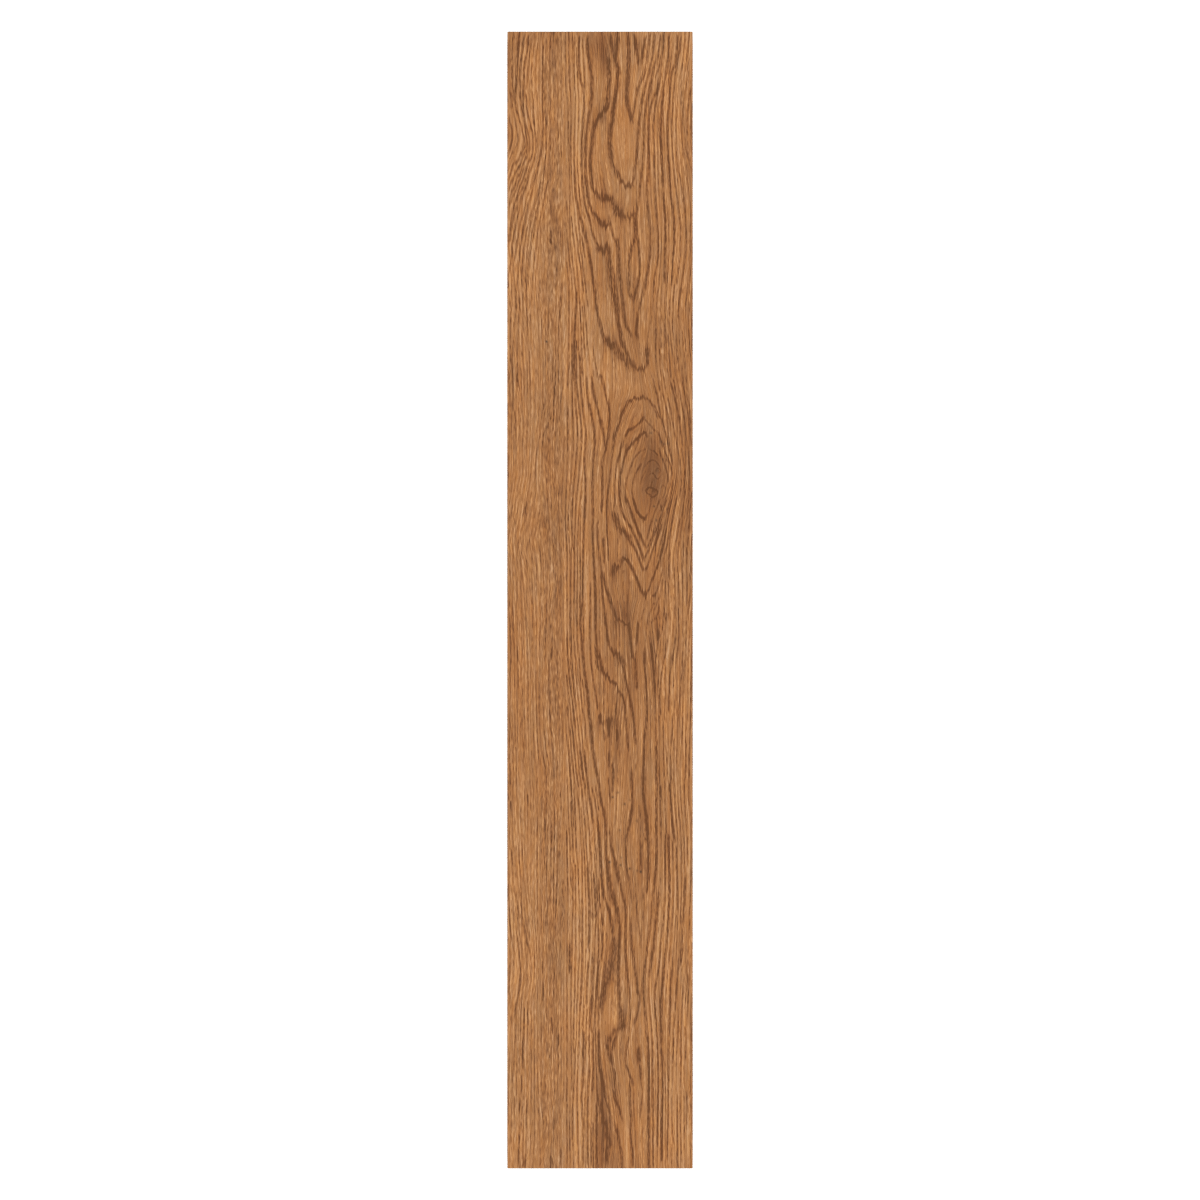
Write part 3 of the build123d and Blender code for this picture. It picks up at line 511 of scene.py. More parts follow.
# Soft patches: x y, half sizes across and along, strength (dark +, pale -).
PATCHES = """
0.4 448.8 10.5 13 0.58
3.6 436.7 4.9 9.7 0.50
11.7 449.6 3.2 8.1 0.36
29.5 450.4 2.8 4.9 0.50
32.8 444.8 3.2 9.7 0.29
0.4 393 4.9 7.3 0.54
-2.8 387.3 3.2 4 0.29
7.7 325.8 3.2 3.2 0.36
-2 307.2 3.2 4 0.32
30.4 227.8 2.4 6.5 0.22
27.1 248.1 3.2 5.7 0.25
3.6 -98.7 6.5 2.3 0.54
10.1 -100.8 2 2.8 0.22
10.9 21.4 4 4 0.29
18.2 -10.1 5.7 9.7 0.18
-2 358.2 4 19.4 0.18
31.2 303.9 3.2 8.1 0.20
49.8 216.5 4 16.2 0.18
49 -15 4 21 0.18
-3.6 -26.3 4 22.7 0.22
32.8 -125.9 4 13 0.16
0.4 325.8 7.3 5.7 0.22
15 312.8 4.9 5.7 0.25
3.6 302.3 4 3.2 0.43
2.8 282.9 4 4 0.50
10.1 262.7 3.2 16.2 0.29
8.5 207.6 5.7 4 0.22
28.7 215.7 3.2 7.3 0.32
42.5 96.7 12.1 32.4 0.65
41.7 90.2 6.5 10.5 0.10
40.9 116.1 8.1 14.6 0.14
27.9 -198.7 4.9 19.4 0.14
10.9 23.9 3.2 6.5 0.22
12.5 -16.6 4 8.9 0.36
20.6 -10.9 4 9.7 0.36
46.5 -22.3 3.2 8.1 0.25
7.7 -99.2 7.3 6.5 0.25
14.2 -109.7 3.2 11.3 0.25
37.6 -174.4 4 14.6 0.29
35.2 -215.7 3.2 7.3 0.29
23.1 -227 2.4 9.7 0.25
0.4 -393 3.2 16.2 0.32
5.3 -439.1 8.9 22.7 0.49
-0.4 -414.8 4.9 24.3 0.22
8.5 -301.5 3.2 9.7 0.29
2.8 -316.1 2.8 8.1 0.36
17.4 -341.2 3.2 6.5 0.43
11.7 -350.9 4.9 4 0.29
10.1 -360.6 3.2 6.5 0.29
33.6 -409.2 1.6 9.7 0.22
42.5 -44.9 2.4 11.3 0.32
44.9 -71.6 2 11.3 0.25
0.4 15.8 113.3 137.6 0.10
26.3 -0.4 13 728.5 0.06
-39.3 -0.4 7.3 728.5 0.05
0.4 -73.3 113.3 64.8 0.09
-70.8 446.4 4.9 27.5 0.23
-37.6 439.9 8.9 35.6 0.26
68.4 218.1 6.5 48.6 0.27
70 108.9 6.5 48.6 0.22
63.5 72.4 7.3 48.6 0.26
51.4 206 6.5 27.5 0.20
57.9 164.7 8.1 21 0.22
-42.5 359.8 5.7 20.2 0.16
2 346 4 17.8 0.20
12.5 -126.7 6.5 21 0.30
37.6 -109.7 4.9 21 0.22
27.9 -196.3 5.3 27.5 0.30
32 -237.6 4.9 17.8 0.23
-40.1 -352.5 7.3 35.6 0.22
6.9 -398.6 9.7 30.8 0.43
3.6 -367.9 6.5 17.8 0.17
6.9 -431 11.3 32.4 0.18
18.2 -418.1 4 19.4 0.22
-2 456.1 7.3 11.3 0.23
70.8 376 4 37.2 0.32
-71.6 370.3 4 11.3 0.30
-48.2 456.1 35.6 7.3 0.20
56.3 -46.5 4.9 19.4 0.18
-15.8 -255.4 11.3 40.5 -0.22
-13.4 -425.3 7.3 40.5 -0.23
52.2 412.4 7.3 17.8 -0.20
-41.7 206 3.2 9.7 -0.23
61.9 -405.1 11.3 48.6 -0.11
18.2 363.8 7.3 22.7 -0.27
-2 363.8 4.9 20.2 -0.18
26.3 416.4 2.4 20.2 -0.18
3.6 234.3 4.9 20.2 -0.23
12.5 184.1 9.7 14.6 -0.27
27.9 171.2 11.3 6.5 -0.23
10.9 52.2 2.4 17.8 -0.36
-10.9 23.9 2 36.4 -0.27
-27.9 -0.4 1.6 36.4 -0.36
-19 396.2 1.2 64.8 -0.36
-0.4 -134 2.8 28.3 -0.45
15 -162.3 6.5 24.3 -0.23
28.7 -198.7 4 20.2 -0.23
9.3 -332.3 4.9 20.2 -0.32
18.2 -405.1 4 24.3 -0.36
21.4 -437.5 2.8 22.7 -0.45
-10.9 -20.6 2 28.3 -0.25
-5.3 -32.8 1.2 24.3 -0.27
33.6 -101.6 1.5 28.3 -0.45
0.4 428.6 113.3 89 -0.12
0.4 -405.1 113.3 105.2 -0.08
-12.5 -0.4 6.5 728.5 -0.20
60.3 -0.4 11.3 728.5 -0.06
-64.3 -0.4 13 728.5 -0.05
-55.4 286.9 5.7 51.8 -0.27
-19 331.4 4 27.5 -0.25
32 35.2 6.5 19.4 -0.31
41.7 -180.1 3.2 21 -0.22
4.5 -207.6 3.2 21 -0.20
-6.1 -129.9 3.2 21 -0.20
-13.4 -312 4.9 32.4 -0.23
20.6 418.9 4 21 -0.18
"""

# Greyer, mottled stretches (+) and golden ones (-): x y, half sizes, strength.
GREYS = """
-50.6 -89.4 22.7 137.6 -0.22
0.4 388.1 64.8 89 -0.11
66.8 -425.3 8.1 40.5 -0.22
-56.3 -352.5 22.7 38.9 0.16
-7.7 -275.6 32.4 40.5 0.14
-52.2 189.8 19.4 36.4 0.06
27.9 -198.7 7.3 27.5 -0.40
61.9 -405.1 13 60.7 -0.18
-57.9 404.3 17.8 60.7 -0.36
-57.9 -0.4 17.8 97.1 -0.18
63.5 339.5 13 113.3 -0.16
-36 347.6 8.9 121.4 0.61
-38.4 112.9 9.7 121.4 0.50
-38.4 -81.3 8.9 97.1 0.43
-37.6 -303.9 8.9 137.6 0.43
-36 -431.8 8.1 36.4 0.29
42.5 96.7 10.5 27.5 0.32
0.4 363.8 72.8 36.4 -0.32
32.8 68.4 48.6 36.4 -0.25
23.1 -425.3 32.4 48.6 -0.32
"""

# pinholes: place, half width, half length and strength
PINS = """
41.3 135.2 0.85 0.95 0.65
43.8 75.8 0.85 0.95 0.75
45.7 64.5 0.85 1.00 0.60
49.5 128.1 0.85 1.00 0.60
51.8 126.4 0.85 0.95 0.55
55 126.7 0.85 0.95 0.55
51 113.9 0.85 0.95 0.45
46.9 104.6 0.85 0.95 0.45
-43.2 209 0.85 1.00 1.00
32.9 -219.9 0.85 1.10 1.00
7.8 -212.1 0.85 0.95 0.85
24 -217.4 0.85 0.95 0.85
20 -165.1 0.85 1.00 0.75
16 -186.3 0.85 0.95 0.60
16.6 -214.5 0.85 0.95 0.75
30.2 -219.1 0.85 0.95 0.50
29.4 -178.5 0.85 0.95 0.45
17.2 -208.5 0.85 0.95 0.45
24.2 -162.1 0.85 0.95 0.40
14.7 -155.8 0.85 0.95 0.55
10.3 -159.6 0.85 0.95 0.80
"""


def read_lines(text):
    found = []
    for row in text.strip().splitlines():
        head, pts = row.split("|")
        dark, wide = (float(v) for v in head.split())
        found.append((dark, wide, np.array([[float(c) for c in p.split(",")] for p in pts.split()])))
    return found


def read_rows(text):
    return [[float(v) for v in row.split()] for row in text.strip().splitlines()]


def smooth_path(pts, step=0.8):
    """Points about `step` mm apart on a Catmull-Rom curve through pts."""
    if len(pts) == 2:
        n = max(2, int(np.hypot(*(pts[1] - pts[0])) / step) + 1)
        return pts[0] + np.linspace(0, 1, n)[:, None] * (pts[1] - pts[0])
    ext = np.vstack([2 * pts[0] - pts[1], pts, 2 * pts[-1] - pts[-2]])
    out = []
    for i in range(len(pts) - 1):
        a, b, c, d = ext[i:i + 4]
        n = max(2, int(np.hypot(*(c - b)) / step) + 1)
        t = np.linspace(0, 1, n, endpoint=False)[:, None]
        out.append(0.5 * (2 * b + (c - a) * t + (2 * a - 5 * b + 4 * c - d) * t * t
                          + (3 * b - a - 3 * c + d) * t ** 3))
    out.append(pts[-1:])
    return np.vstack(out)


rings = read_lines(RING_LINES)
pales = read_lines(PALE_LINES)

# ---------------------------------------------------------------- face grid
NX, NY = 280, 1152                    # 0.53 mm columns, 0.8 mm rows; rows are thinned out below
gx = np.linspace(-HALF_W + EASE, HALF_W - EASE, NX + 1)
gy = np.linspace(HALF_L - EASE, -HALF_L + EASE, NY + 1)
DX, DY = gx[1] - gx[0], gy[0] - gy[1]
XX, YY = np.meshgrid(gx, gy)          # rows run from the +Y end down
rng = np.random.default_rng(7)


def lay(lines, ends=5.0):
    """Each drawn line as (smooth path, strength along it, half width); its ends fade out."""
    found = []
    for dark, wide, pts in lines:
        path = smooth_path(pts)
        run = np.concatenate([[0], np.cumsum(np.hypot(*np.diff(path, axis=0).T))])
        taper = ends * min(1.0, run[-1] / 16.0)
        found.append((path, dark * np.clip(np.minimum(run, run[-1] - run) / taper + 0.6, 0, 1), wide))
    return found


def stamp(field, laid, along, per_width):
    """Lays every line into the field as a ridge: narrow across, drawn out along the fibres."""
    for path, strength, sx in laid:
        sy = along + per_width * sx
        cx, cy = int(3 * sx / DX) + 1, int(3 * sy / DY) + 1
        for (px, py), amp in zip(path, strength):
            i, j = int(round((px - gx[0]) / DX)), int(round((gy[0] - py) / DY))
            i0, i1 = max(i - cx, 0), min(i + cx + 1, NX + 1)
            j0, j1 = max(j - cy, 0), min(j + cy + 1, NY + 1)
            if i0 >= i1 or j0 >= j1:
                continue
            kx = np.exp(-0.5 * ((gx[i0:i1] - px) / sx) ** 2)
            ky = np.exp(-0.5 * ((gy[j0:j1] - py) / sy) ** 2)
            part = field[j0:j1, i0:i1]
            np.maximum(part, amp * ky[:, None] * kx[None, :], out=part)
    return field


def blobs(rows):
    field = np.zeros_like(XX)
    for x, y, rx, ry, s in rows:
        d = ((XX - x) / rx) ** 2 + ((YY - y) / ry) ** 2
        field += s * np.exp(-0.9 * d)
    return field


def smooth(field, n, axis):
    for _ in range(n):
        field = 0.5 * field + 0.25 * (np.roll(field, 1, axis) + np.roll(field, -1, axis))
    return field


def streaks(along, across=1):
    """Random streaks on the face grid, `along` mm long and `across` columns wide, of unit spread."""
    n = int(2 * HALF_L / along) + 3
    seeds = smooth(rng.standard_normal((n, NX + 1)), across - 1, 1)
    at = np.clip((HALF_L - gy) / along, 0, n - 1.001)
    k = at.astype(int)
    f = (at - k)[:, None]
    f = f * f * (3 - 2 * f)
    field = seeds[k] * (1 - f) + seeds[k + 1] * f
    return field / field.std()


# Vessels end at different heights, so a ring line that crosses the fibres is ragged.
slip = 0.55 * streaks(9.0, 2) + 0.45 * streaks(9.0, 4) + 0.5 * streaks(14.0, 8)
# Round the knot the wood is dense and even.
KNOT = ((XX - 40.9) / 15.0) ** 2 + ((YY - 94.0) / 33.0) ** 2
slip *= 0.12 + 0.53 * np.clip((KNOT - 0.45) / 0.6, 0, 1) + 0.85 * np.clip((KNOT - 4.0) / 4.0, 0, 1)


def ragged(field):
    out = np.empty_like(field)
    for i in range(NX + 1):
        out[:, i] = np.interp(-(YY[:, i] + slip[:, i]), -gy, field[:, i])
    return out


tone = ragged(blobs(read_rows(PATCHES)))
grey = np.clip(blobs(read_rows(GREYS)), -1, 1)

# Lean of the fibres (dx/dy), spread out from the lines that run mostly along the plank.
num, den = np.zeros_like(XX), np.full_like(XX, 0.12)
for _, _, pts in rings:
    path = smooth_path(pts, 4.0)
    for a, b in zip(path[:-1], path[1:]):
        d = b - a
        if abs(d[1]) < 1e-6 or abs(d[0] / d[1]) > (0.75 if a[0] < -40 else 0.45):
            continue
        mx, my = (a + b) / 2
        i0, i1 = np.searchsorted(gx, [mx - 18, mx + 18])
        j0, j1 = np.searchsorted(-gy, [-(my + 32), -(my - 32)])
        w = np.exp(-0.5 * (((XX[j0:j1, i0:i1] - mx) / 6) ** 2 + ((YY[j0:j1, i0:i1] - my) / 11) ** 2))
        num[j0:j1, i0:i1] += w * (d[0] / d[1])
        den[j0:j1, i0:i1] += w
lean = num / den
lean = np.where(XX < -40, lean, np.clip(lean, -0.3, 0.3))

# Year lines in the straight-grained sides, set between the drawn lines an even step apart
# and led by the same lean, so they run beside their neighbours without crossing them.
drawn = lay(rings)
HOP = 3                               # rows per step of such a line
near = [[] for _ in range(NY // HOP + 1)]
for path, strength, _ in drawn:
    for px, py in path:
        j = int(round((gy[0] - py) / DY / HOP))
        if 0 <= j < len(near):
            near[j].append(px)
near = [np.array(sorted(n)) for n in near]


def gap(x, j):
    return np.abs(near[j] - x).min() if len(near[j]) else 99.0


def straight_side(x, y):
    if x < -12.0 or (x < -1.0 and y < -150.0):
        return not -47.0 < x < -27.0          # a mottled band runs down the left, without long lines
    if x > 45.0 and not (abs(y - 92.0) < 45.0 and x < 53.0):
        return True
    return False


def spacing(x):
    """Least distance to a neighbour for a year line to start, its spread, and the one where it ends."""
    return (2.0, 0.5, 1.35) if -27.0 < x < 0 else (2.6, 0.7, 1.7)


def follow(x, j, way):
    found = []
    stop = spacing(x)[2]
    while 0 <= j < len(near) and abs(x) < HALF_W - 0.3 and straight_side(x, gy[j * HOP]) and gap(x, j) > stop:
        found.append((x, gy[j * HOP], j))
        i = int(np.clip(round((x - gx[0]) / DX), 0, NX))
        x = x - way * lean[j * HOP, i] * DY * HOP
        j += way
    return found


def wavering(n, every):
    knots = np.arange(0, n * DY * HOP + 2 * every, every)
    return lambda kind: np.interp(np.arange(n) * DY * HOP, knots, kind(len(knots)))


fill = []
for j in range(3, len(near), 5):
    for x in np.arange(-HALF_W + 1.0, HALF_W - 0.8, 0.45):
        if not straight_side(x, gy[j * HOP]) or gap(x, j) < spacing(x)[0] + spacing(x)[1] * rng.random():
            continue
        way = follow(x, j, -1)[::-1] + follow(x, j, 1)[1:]
        if len(way) < 6:
            continue
        for px, _, k in way:
            near[k] = np.sort(np.append(near[k], px))
        n = len(way)
        come_and_go = wavering(n, 16.0 if x > 0 else 11.0)(rng.random)
        wander = wavering(n, 18.0)(rng.standard_normal) * 0.16
        pts = np.array([(px + w, py) for (px, py, _), w in zip(way, wander)])
        top_dark = 0.74 if x > 0 else (0.88 if x > -27 else 0.52)
        strength = top_dark * np.clip((0.30 if -27 < x < 0 else 0.15) + 1.1 * come_and_go, 0, 1)
        strength *= 1 - 0.75 * np.array([max(0.0, grey[k * HOP, int(np.clip(round((px - gx[0]) / DX), 0, NX))]) for px, _, k in way])
        fine_pts = smooth_path(pts)
        fill.append((fine_pts, np.interp(-fine_pts[:, 1], -pts[:, 1], strength), 0.50))

dark = ragged(stamp(np.zeros_like(XX), drawn + fill, 0.15, 0.95))
pale = stamp(np.zeros_like(XX), lay(pales), 1.2, 1.0)
# The stronger rings have a soft brown border as well as their dark core.
border = stamp(np.zeros_like(XX), [(p, np.clip(s - 0.45, 0, 1) * 1.8, w * 2.4) for p, s, w in drawn], 0.8, 1.2)
tone = tone + 0.20 * ragged(border)
# Wood just beside a ring line is paler than the rest.
beside = np.clip(1.7 * (smooth(dark, 9, 1) - dark), 0, 1)
pale = np.clip(pale + beside, 0, 1)
# Fibre coordinate: x carried along the lean from the +Y end.
fibre = np.zeros_like(XX)
fibre[0] = gx
HOLD = DY / 35.0                      # how soon a fibre forgets where it started
for j in range(1, NY + 1):
    back_x = gx + lean[j] * DY
    over = back_x - np.clip(back_x, gx[0], gx[-1])
    fibre[j] = (np.interp(back_x, gx, fibre[j - 1]) + over) * (1 - HOLD) + gx * HOLD


# Pore ticks: short pressed scratches along the fibres, the same on every run.
ticks = np.clip(streaks(5.0, 2) - 0.5, 0, 2.2) / 2.2
fade = np.clip(np.minimum(HALF_W - np.abs(XX), HALF_L - np.abs(YY)) / 2.0, 0, 1)
press = np.clip(0.075 * dark + 0.022 * ticks, 0, 0.11) * fade      # mm below the top face

# ---------------------------------------------------------------- one closed mesh
# Rows stay close together only where the drawing turns across the plank: each strip of columns
# keeps, block by block, the widest row step that still follows the fields.
STRIP, BLOCK, BUDGET = 4, 16, 196000
NS, NB = NX // STRIP, NY // BLOCK


def misfit(field, step):
    at = np.arange(NY + 1) / step
    k = np.minimum(at.astype(int), NY // step - 1)
    f = (at - k)[:, None]
    kept = field[::step]
    off = np.abs(field - (kept[k] * (1 - f) + kept[k + 1] * f))
    off = np.maximum(off[:NY], off[1:]).reshape(NB, BLOCK, NX + 1).max(1)
    return np.stack([off[:, s * STRIP:(s + 1) * STRIP + 1].max(1) for s in range(NS)])


STEPS = (16, 8, 4, 2, 1)
pins = np.clip(blobs(read_rows(PINS)), 0, 1)
follows = np.clip(dark, 0, 0.9) + 0.9 * tone + 0.5 * pale + 0.9 * pins
off_by = [misfit(follows, s) for s in STEPS]


def rows_kept(limit):
    keep = np.zeros((NS, NY + 1), bool)
    for s in range(NS):
        for b in range(NB):
            step = next(t for t, off in zip(STEPS, off_by) if off[s, b] <= limit or t == 1)
            keep[s, b * BLOCK:(b + 1) * BLOCK + 1:step] = True
    return keep


def triangles(keep):
    n = keep.sum(1)
    shared = (keep[1:] | keep[:-1]).sum(1)
    return int((2 * STRIP * (n - 1)).sum() + (2 * shared - n[1:] - n[:-1]).sum() + 11 * (n[0] + n[-1] + 2 * NX))


low_limit, high_limit = 0.0, 1.0
for _ in range(12):
    limit = (low_limit + high_limit) / 2
    if triangles(rows_kept(limit)) > BUDGET:
        low_limit = limit
    else:
        high_limit = limit
keep = rows_kept(high_limit)

on = np.zeros((NY + 1, NX + 1), bool)
for i in range(NX + 1):
    on[:, i] = keep[min(i // STRIP, NS - 1)]
    if i % STRIP == 0 and 0 < i < NX:
        on[:, i] |= keep[i // STRIP - 1]
index = np.full(on.shape, -1)
index[on] = np.arange(on.sum())
top = np.stack([XX, YY, THICK - press], -1)[on]

faces, mats = [], []
for i in range(NX):
    rows_here = np.flatnonzero(keep[i // STRIP])
    for a, b in zip(rows_here[:-1], rows_here[1:]):
        l = [r for r in range(a, b + 1) if on[r, i]]
        r = [r for r in range(a, b + 1) if on[r, i + 1]]
        if len(l) == len(r) == 2:
            faces.append((index[a, i], index[b, i], index[b, i + 1], index[a, i + 1]))
            continue
        # where one side has more rows than the other, lace the two together
        p, q = 0, 0
        while p < len(l) - 1 or q < len(r) - 1:
            if q == len(r) - 1 or (p < len(l) - 1 and l[p + 1] <= r[q + 1]):
                faces.append((index[l[p], i], index[l[p + 1], i], index[r[q], i + 1]))
                p += 1
            else:
                faces.append((index[l[p], i], index[r[q + 1], i + 1], index[r[q], i + 1]))
                q += 1
mats += [0] * len(faces)

left_rows, right_rows = np.flatnonzero(on[:, 0]), np.flatnonzero(on[:, NX])
loop = np.concatenate([index[0, :NX], index[right_rows[:-1], NX], index[NY, NX:0:-1], index[left_rows[:0:-1], 0]])
N = len(loop)
bx, by = top[loop, 0] / (HALF_W - EASE), top[loop, 1] / (HALF_L - EASE)
on_x, on_y = np.abs(bx) > 0.99999, np.abs(by) > 0.99999


def ring_at(out, z):
    """The outline pushed `out` mm outward from the face grid, at height z."""
    x = top[loop, 0] + np.where(on_x, np.sign(bx) * out, 0)
    y = top[loop, 1] + np.where(on_y, np.sign(by) * out, 0)
    corner = on_x & on_y
    cut = CORNER * (1 - 0.70711) * out / EASE
    x = np.where(corner, x - np.sign(bx) * cut, x)
    y = np.where(corner, y - np.sign(by) * cut, y)
    return np.stack([x, y, np.full(N, z)], 1)


levels = [(EASE * 0.5, THICK - EASE * 0.134), (EASE * 0.866, THICK - EASE * 0.5), (EASE, THICK - EASE), (EASE, THICK - 0.5), (EASE, 0.0)]
verts = [top] + [ring_at(o, z) for o, z in levels]
rows = [loop] + [np.arange(N) + len(top) + k * N for k in range(len(levels))]
verts = np.vstack(verts)
TOP_V = 0.86


def top_uv(v):
    return (0.002 + 0.996 * (v[0] / (2 * HALF_W) + 0.5), 0.002 + (TOP_V - 0.004) * (v[1] / (2 * HALF_L) + 0.5))


arc = np.concatenate([[0], np.cumsum(np.hypot(*(np.diff(np.vstack([top[loop, :2], top[loop[:1], :2]]), axis=0).T)))])
arc /= arc[-1]
depth = [0.0, 0.10, 0.20, 0.30, 0.42, 1.0]
side_start = len(faces)
side_uv = []
for k in range(len(rows) - 1):
    a, b = rows[k], rows[k + 1]
    for n in range(N):
        m = (n + 1) % N
        faces.append((a[n], a[m], b[m], b[n]))
        u0, u1 = 0.002 + 0.996 * arc[n], 0.002 + 0.996 * arc[n + 1]
        v0, v1 = 0.998 - 0.05 * depth[k], 0.998 - 0.05 * depth[k + 1]
        side_uv.append(((u0, v0), (u1, v0), (u1, v1), (u0, v1)))
    mats += [0 if k < 2 else 1] * N
# underside: a fan along each end, laced from side to side between them
low = rows[-1]
R = len(right_rows)
head = low[:NX + 1]                                   # +Y end, left to right
right = low[NX:NX + R]                                # +Y end down
tail = low[NX + R - 1:NX + R + NX]                    # -Y end, right to left
left = np.concatenate([low[NX + R - 1 + NX:], low[:1]])[::-1]   # +Y end down
under = [(head[k], head[k + 1], left[1]) for k in range(NX)] + [(head[NX], right[1], left[1])]
a, b = 1, 1
while a < len(left) - 2 or b < len(right) - 2:
    if b >= len(right) - 2 or (a < len(left) - 2 and verts[left[a + 1], 1] >= verts[right[b + 1], 1]):
        under.append((left[a], right[b], left[a + 1]))
        a += 1
    else:
        under.append((left[a], right[b], right[b + 1]))
        b += 1
under += [(right[-2], tail[k], tail[k + 1]) for k in range(NX)] + [(left[-2], right[-2], tail[NX])]
under_start = len(faces)
faces += under
mats += [2] * len(under)

mesh = bpy.data.meshes.new("vinyl_tile_printed")
mesh.from_pydata((verts / MM + np.array([(LO.x + HI.x) / 2, (LO.y + HI.y) / 2, LO.z])).tolist(), [], [tuple(int(v) for v in f) for f in faces])
mesh.polygons.foreach_set("material_index", np.array(mats, np.int32))
mesh.polygons.foreach_set("use_smooth", np.array([1 if i < under_start else 0 for i in range(len(faces))], bool))

uv = mesh.uv_layers.new(name="OFBake")
flat = np.zeros((len(mesh.loops), 2), np.float32)
starts = np.zeros(len(faces), np.int64)
mesh.polygons.foreach_get("loop_start", starts)
for f, face in enumerate(faces):
    s = starts[f]
    if f < side_start:
        for k, v in enumerate(face):
            flat[s + k] = top_uv(verts[v])
    elif f < under_start:
        for k in range(4):
            flat[s + k] = side_uv[f - side_start][k]
    else:
        for k, v in enumerate(face):
            flat[s + k] = (0.002 + 0.996 * (verts[v][1] / (2 * HALF_L) + 0.5), 0.865 + 0.075 * (verts[v][0] / (2 * HALF_W) + 0.5))
uv.data.foreach_set("uv", flat.ravel())


def put(name, grid):
    values = np.zeros(len(verts), np.float32)
    values[:len(top)] = grid[on]
    for r in rows[1:]:
        values[r] = values[loop]
    mesh.attributes.new(name, "FLOAT", "POINT").data.foreach_set("value", values)


put("dark", dark)
put("pale", pale)
put("tone", tone)
put("grey", grey)
put("fibre", fibre)
# the fanned lines on the left are clean too
FAN = ((XX + 66.0) / 15.0) ** 2 + ((YY - 347.0) / 52.0) ** 2
put("even", np.maximum(np.clip((1.15 - KNOT) / 0.7, 0, 1), 0.9 * np.clip((1.2 - FAN) / 0.6, 0, 1)))
put("pin", pins)
mesh.validate()
mesh.update()

tile = bpy.data.objects.new("vinyl_tile_printed", mesh)
bpy.context.scene.collection.objects.link(tile)


# ---------------------------------------------------------------- materials
class Nodes:
    """Small helpers for wiring a procedural material."""

    def __init__(self, name):
        self.mat = bpy.data.materials.new(name)
        self.mat.use_nodes = True
        self.tree = self.mat.node_tree
        self.tree.nodes.clear()
        self.out = self.tree.nodes.new("ShaderNodeOutputMaterial")
        self.bsdf = self.tree.nodes.new("ShaderNodeBsdfPrincipled")
        self.link(self.bsdf.outputs[0], self.out.inputs[0])

    def link(self, a, b):
        self.tree.links.new(a, b)

    def put(self, node, socket, value):
        target = node.inputs[socket]
        if hasattr(value, "is_output"):
            self.link(value, target)
        else:
            target.default_value = value

    def math(self, op, a, b=0.0, c=0.0, clamp=False):
        n = self.tree.nodes.new("ShaderNodeMath")
        n.operation = op
        n.use_clamp = clamp
        for k, v in enumerate((a, b, c)):
            if k < len(n.inputs):
                self.put(n, k, v)
        return n.outputs[0]

    def attr(self, name):
        n = self.tree.nodes.new("ShaderNodeAttribute")
        n.attribute_type = "GEOMETRY"
        n.attribute_name = name
        return n.outputs["Fac"]

    def object_xyz(self):
        n = self.tree.nodes.new("ShaderNodeTexCoord")
        s = self.tree.nodes.new("ShaderNodeSeparateXYZ")
        self.link(n.outputs["Object"], s.inputs[0])
        return s.outputs

    def vec(self, x, y, z=0.0):
        n = self.tree.nodes.new("ShaderNodeCombineXYZ")
        for k, v in enumerate((x, y, z)):
            self.put(n, k, v)
        return n.outputs[0]

    def noise(self, x, y, across, along, seed, detail=2.0, rough=0.5, distort=0.0):
        """Noise whose features are `across` by `along` mm; x and y come in mm."""
        n = self.tree.nodes.new("ShaderNodeTexNoise")
        n.noise_dimensions = "3D"
        self.link(self.vec(self.math("MULTIPLY", x, 1.0 / across), self.math("MULTIPLY", y, 1.0 / along), seed), n.inputs["Vector"])
        self.put(n, "Scale", 1.0)
        self.put(n, "Detail", detail)
        self.put(n, "Roughness", rough)
        self.put(n, "Distortion", distort)
        return n.outputs["Fac"]

    def remap(self, v, a, b, c=0.0, d=1.0, smooth_step=False):
        n = self.tree.nodes.new("ShaderNodeMapRange")
        n.interpolation_type = "SMOOTHSTEP" if smooth_step else "LINEAR"
        n.clamp = True
        for k, val in enumerate((v, a, b, c, d)):
            self.put(n, k, val)
        return n.outputs[0]

    def ramp(self, v, stops):
        n = self.tree.nodes.new("ShaderNodeValToRGB")
        el = n.color_ramp.elements
        while len(el) < len(stops):
            el.new(0.5)
        for e, (pos, col) in zip(el, stops):
            e.position = pos
            e.color = (*col, 1.0)
        self.link(v, n.inputs[0])
        return n.outputs[0]

    def mix(self, fac, a, b, blend="MIX"):
        n = self.tree.nodes.new("ShaderNodeMix")
        n.data_type = "RGBA"
        n.blend_type = blend
        self.put(n, 0, fac)
        self.put(n, 6, a)
        self.put(n, 7, b)
        return n.outputs[2]

    def bump(self, height, strength, distance):
        n = self.tree.nodes.new("ShaderNodeBump")
        self.put(n, "Strength", strength)
        self.put(n, "Distance", distance)
        self.link(height, n.inputs["Height"])
        self.link(n.outputs[0], self.bsdf.inputs["Normal"])


def lin(r, g, b, gain=None):
    """sRGB 0..255 to linear; with a gain, less the veil that the surface gloss adds back."""
    out = []
    for v in (r, g, b):
        v = v / 255.0
        v = v / 12.92 if v <= 0.04045 else ((v + 0.055) / 1.055) ** 2.4
        out.append(v if gain is None else max(gain * (v - 0.0245), 0.004))
    return tuple(out)


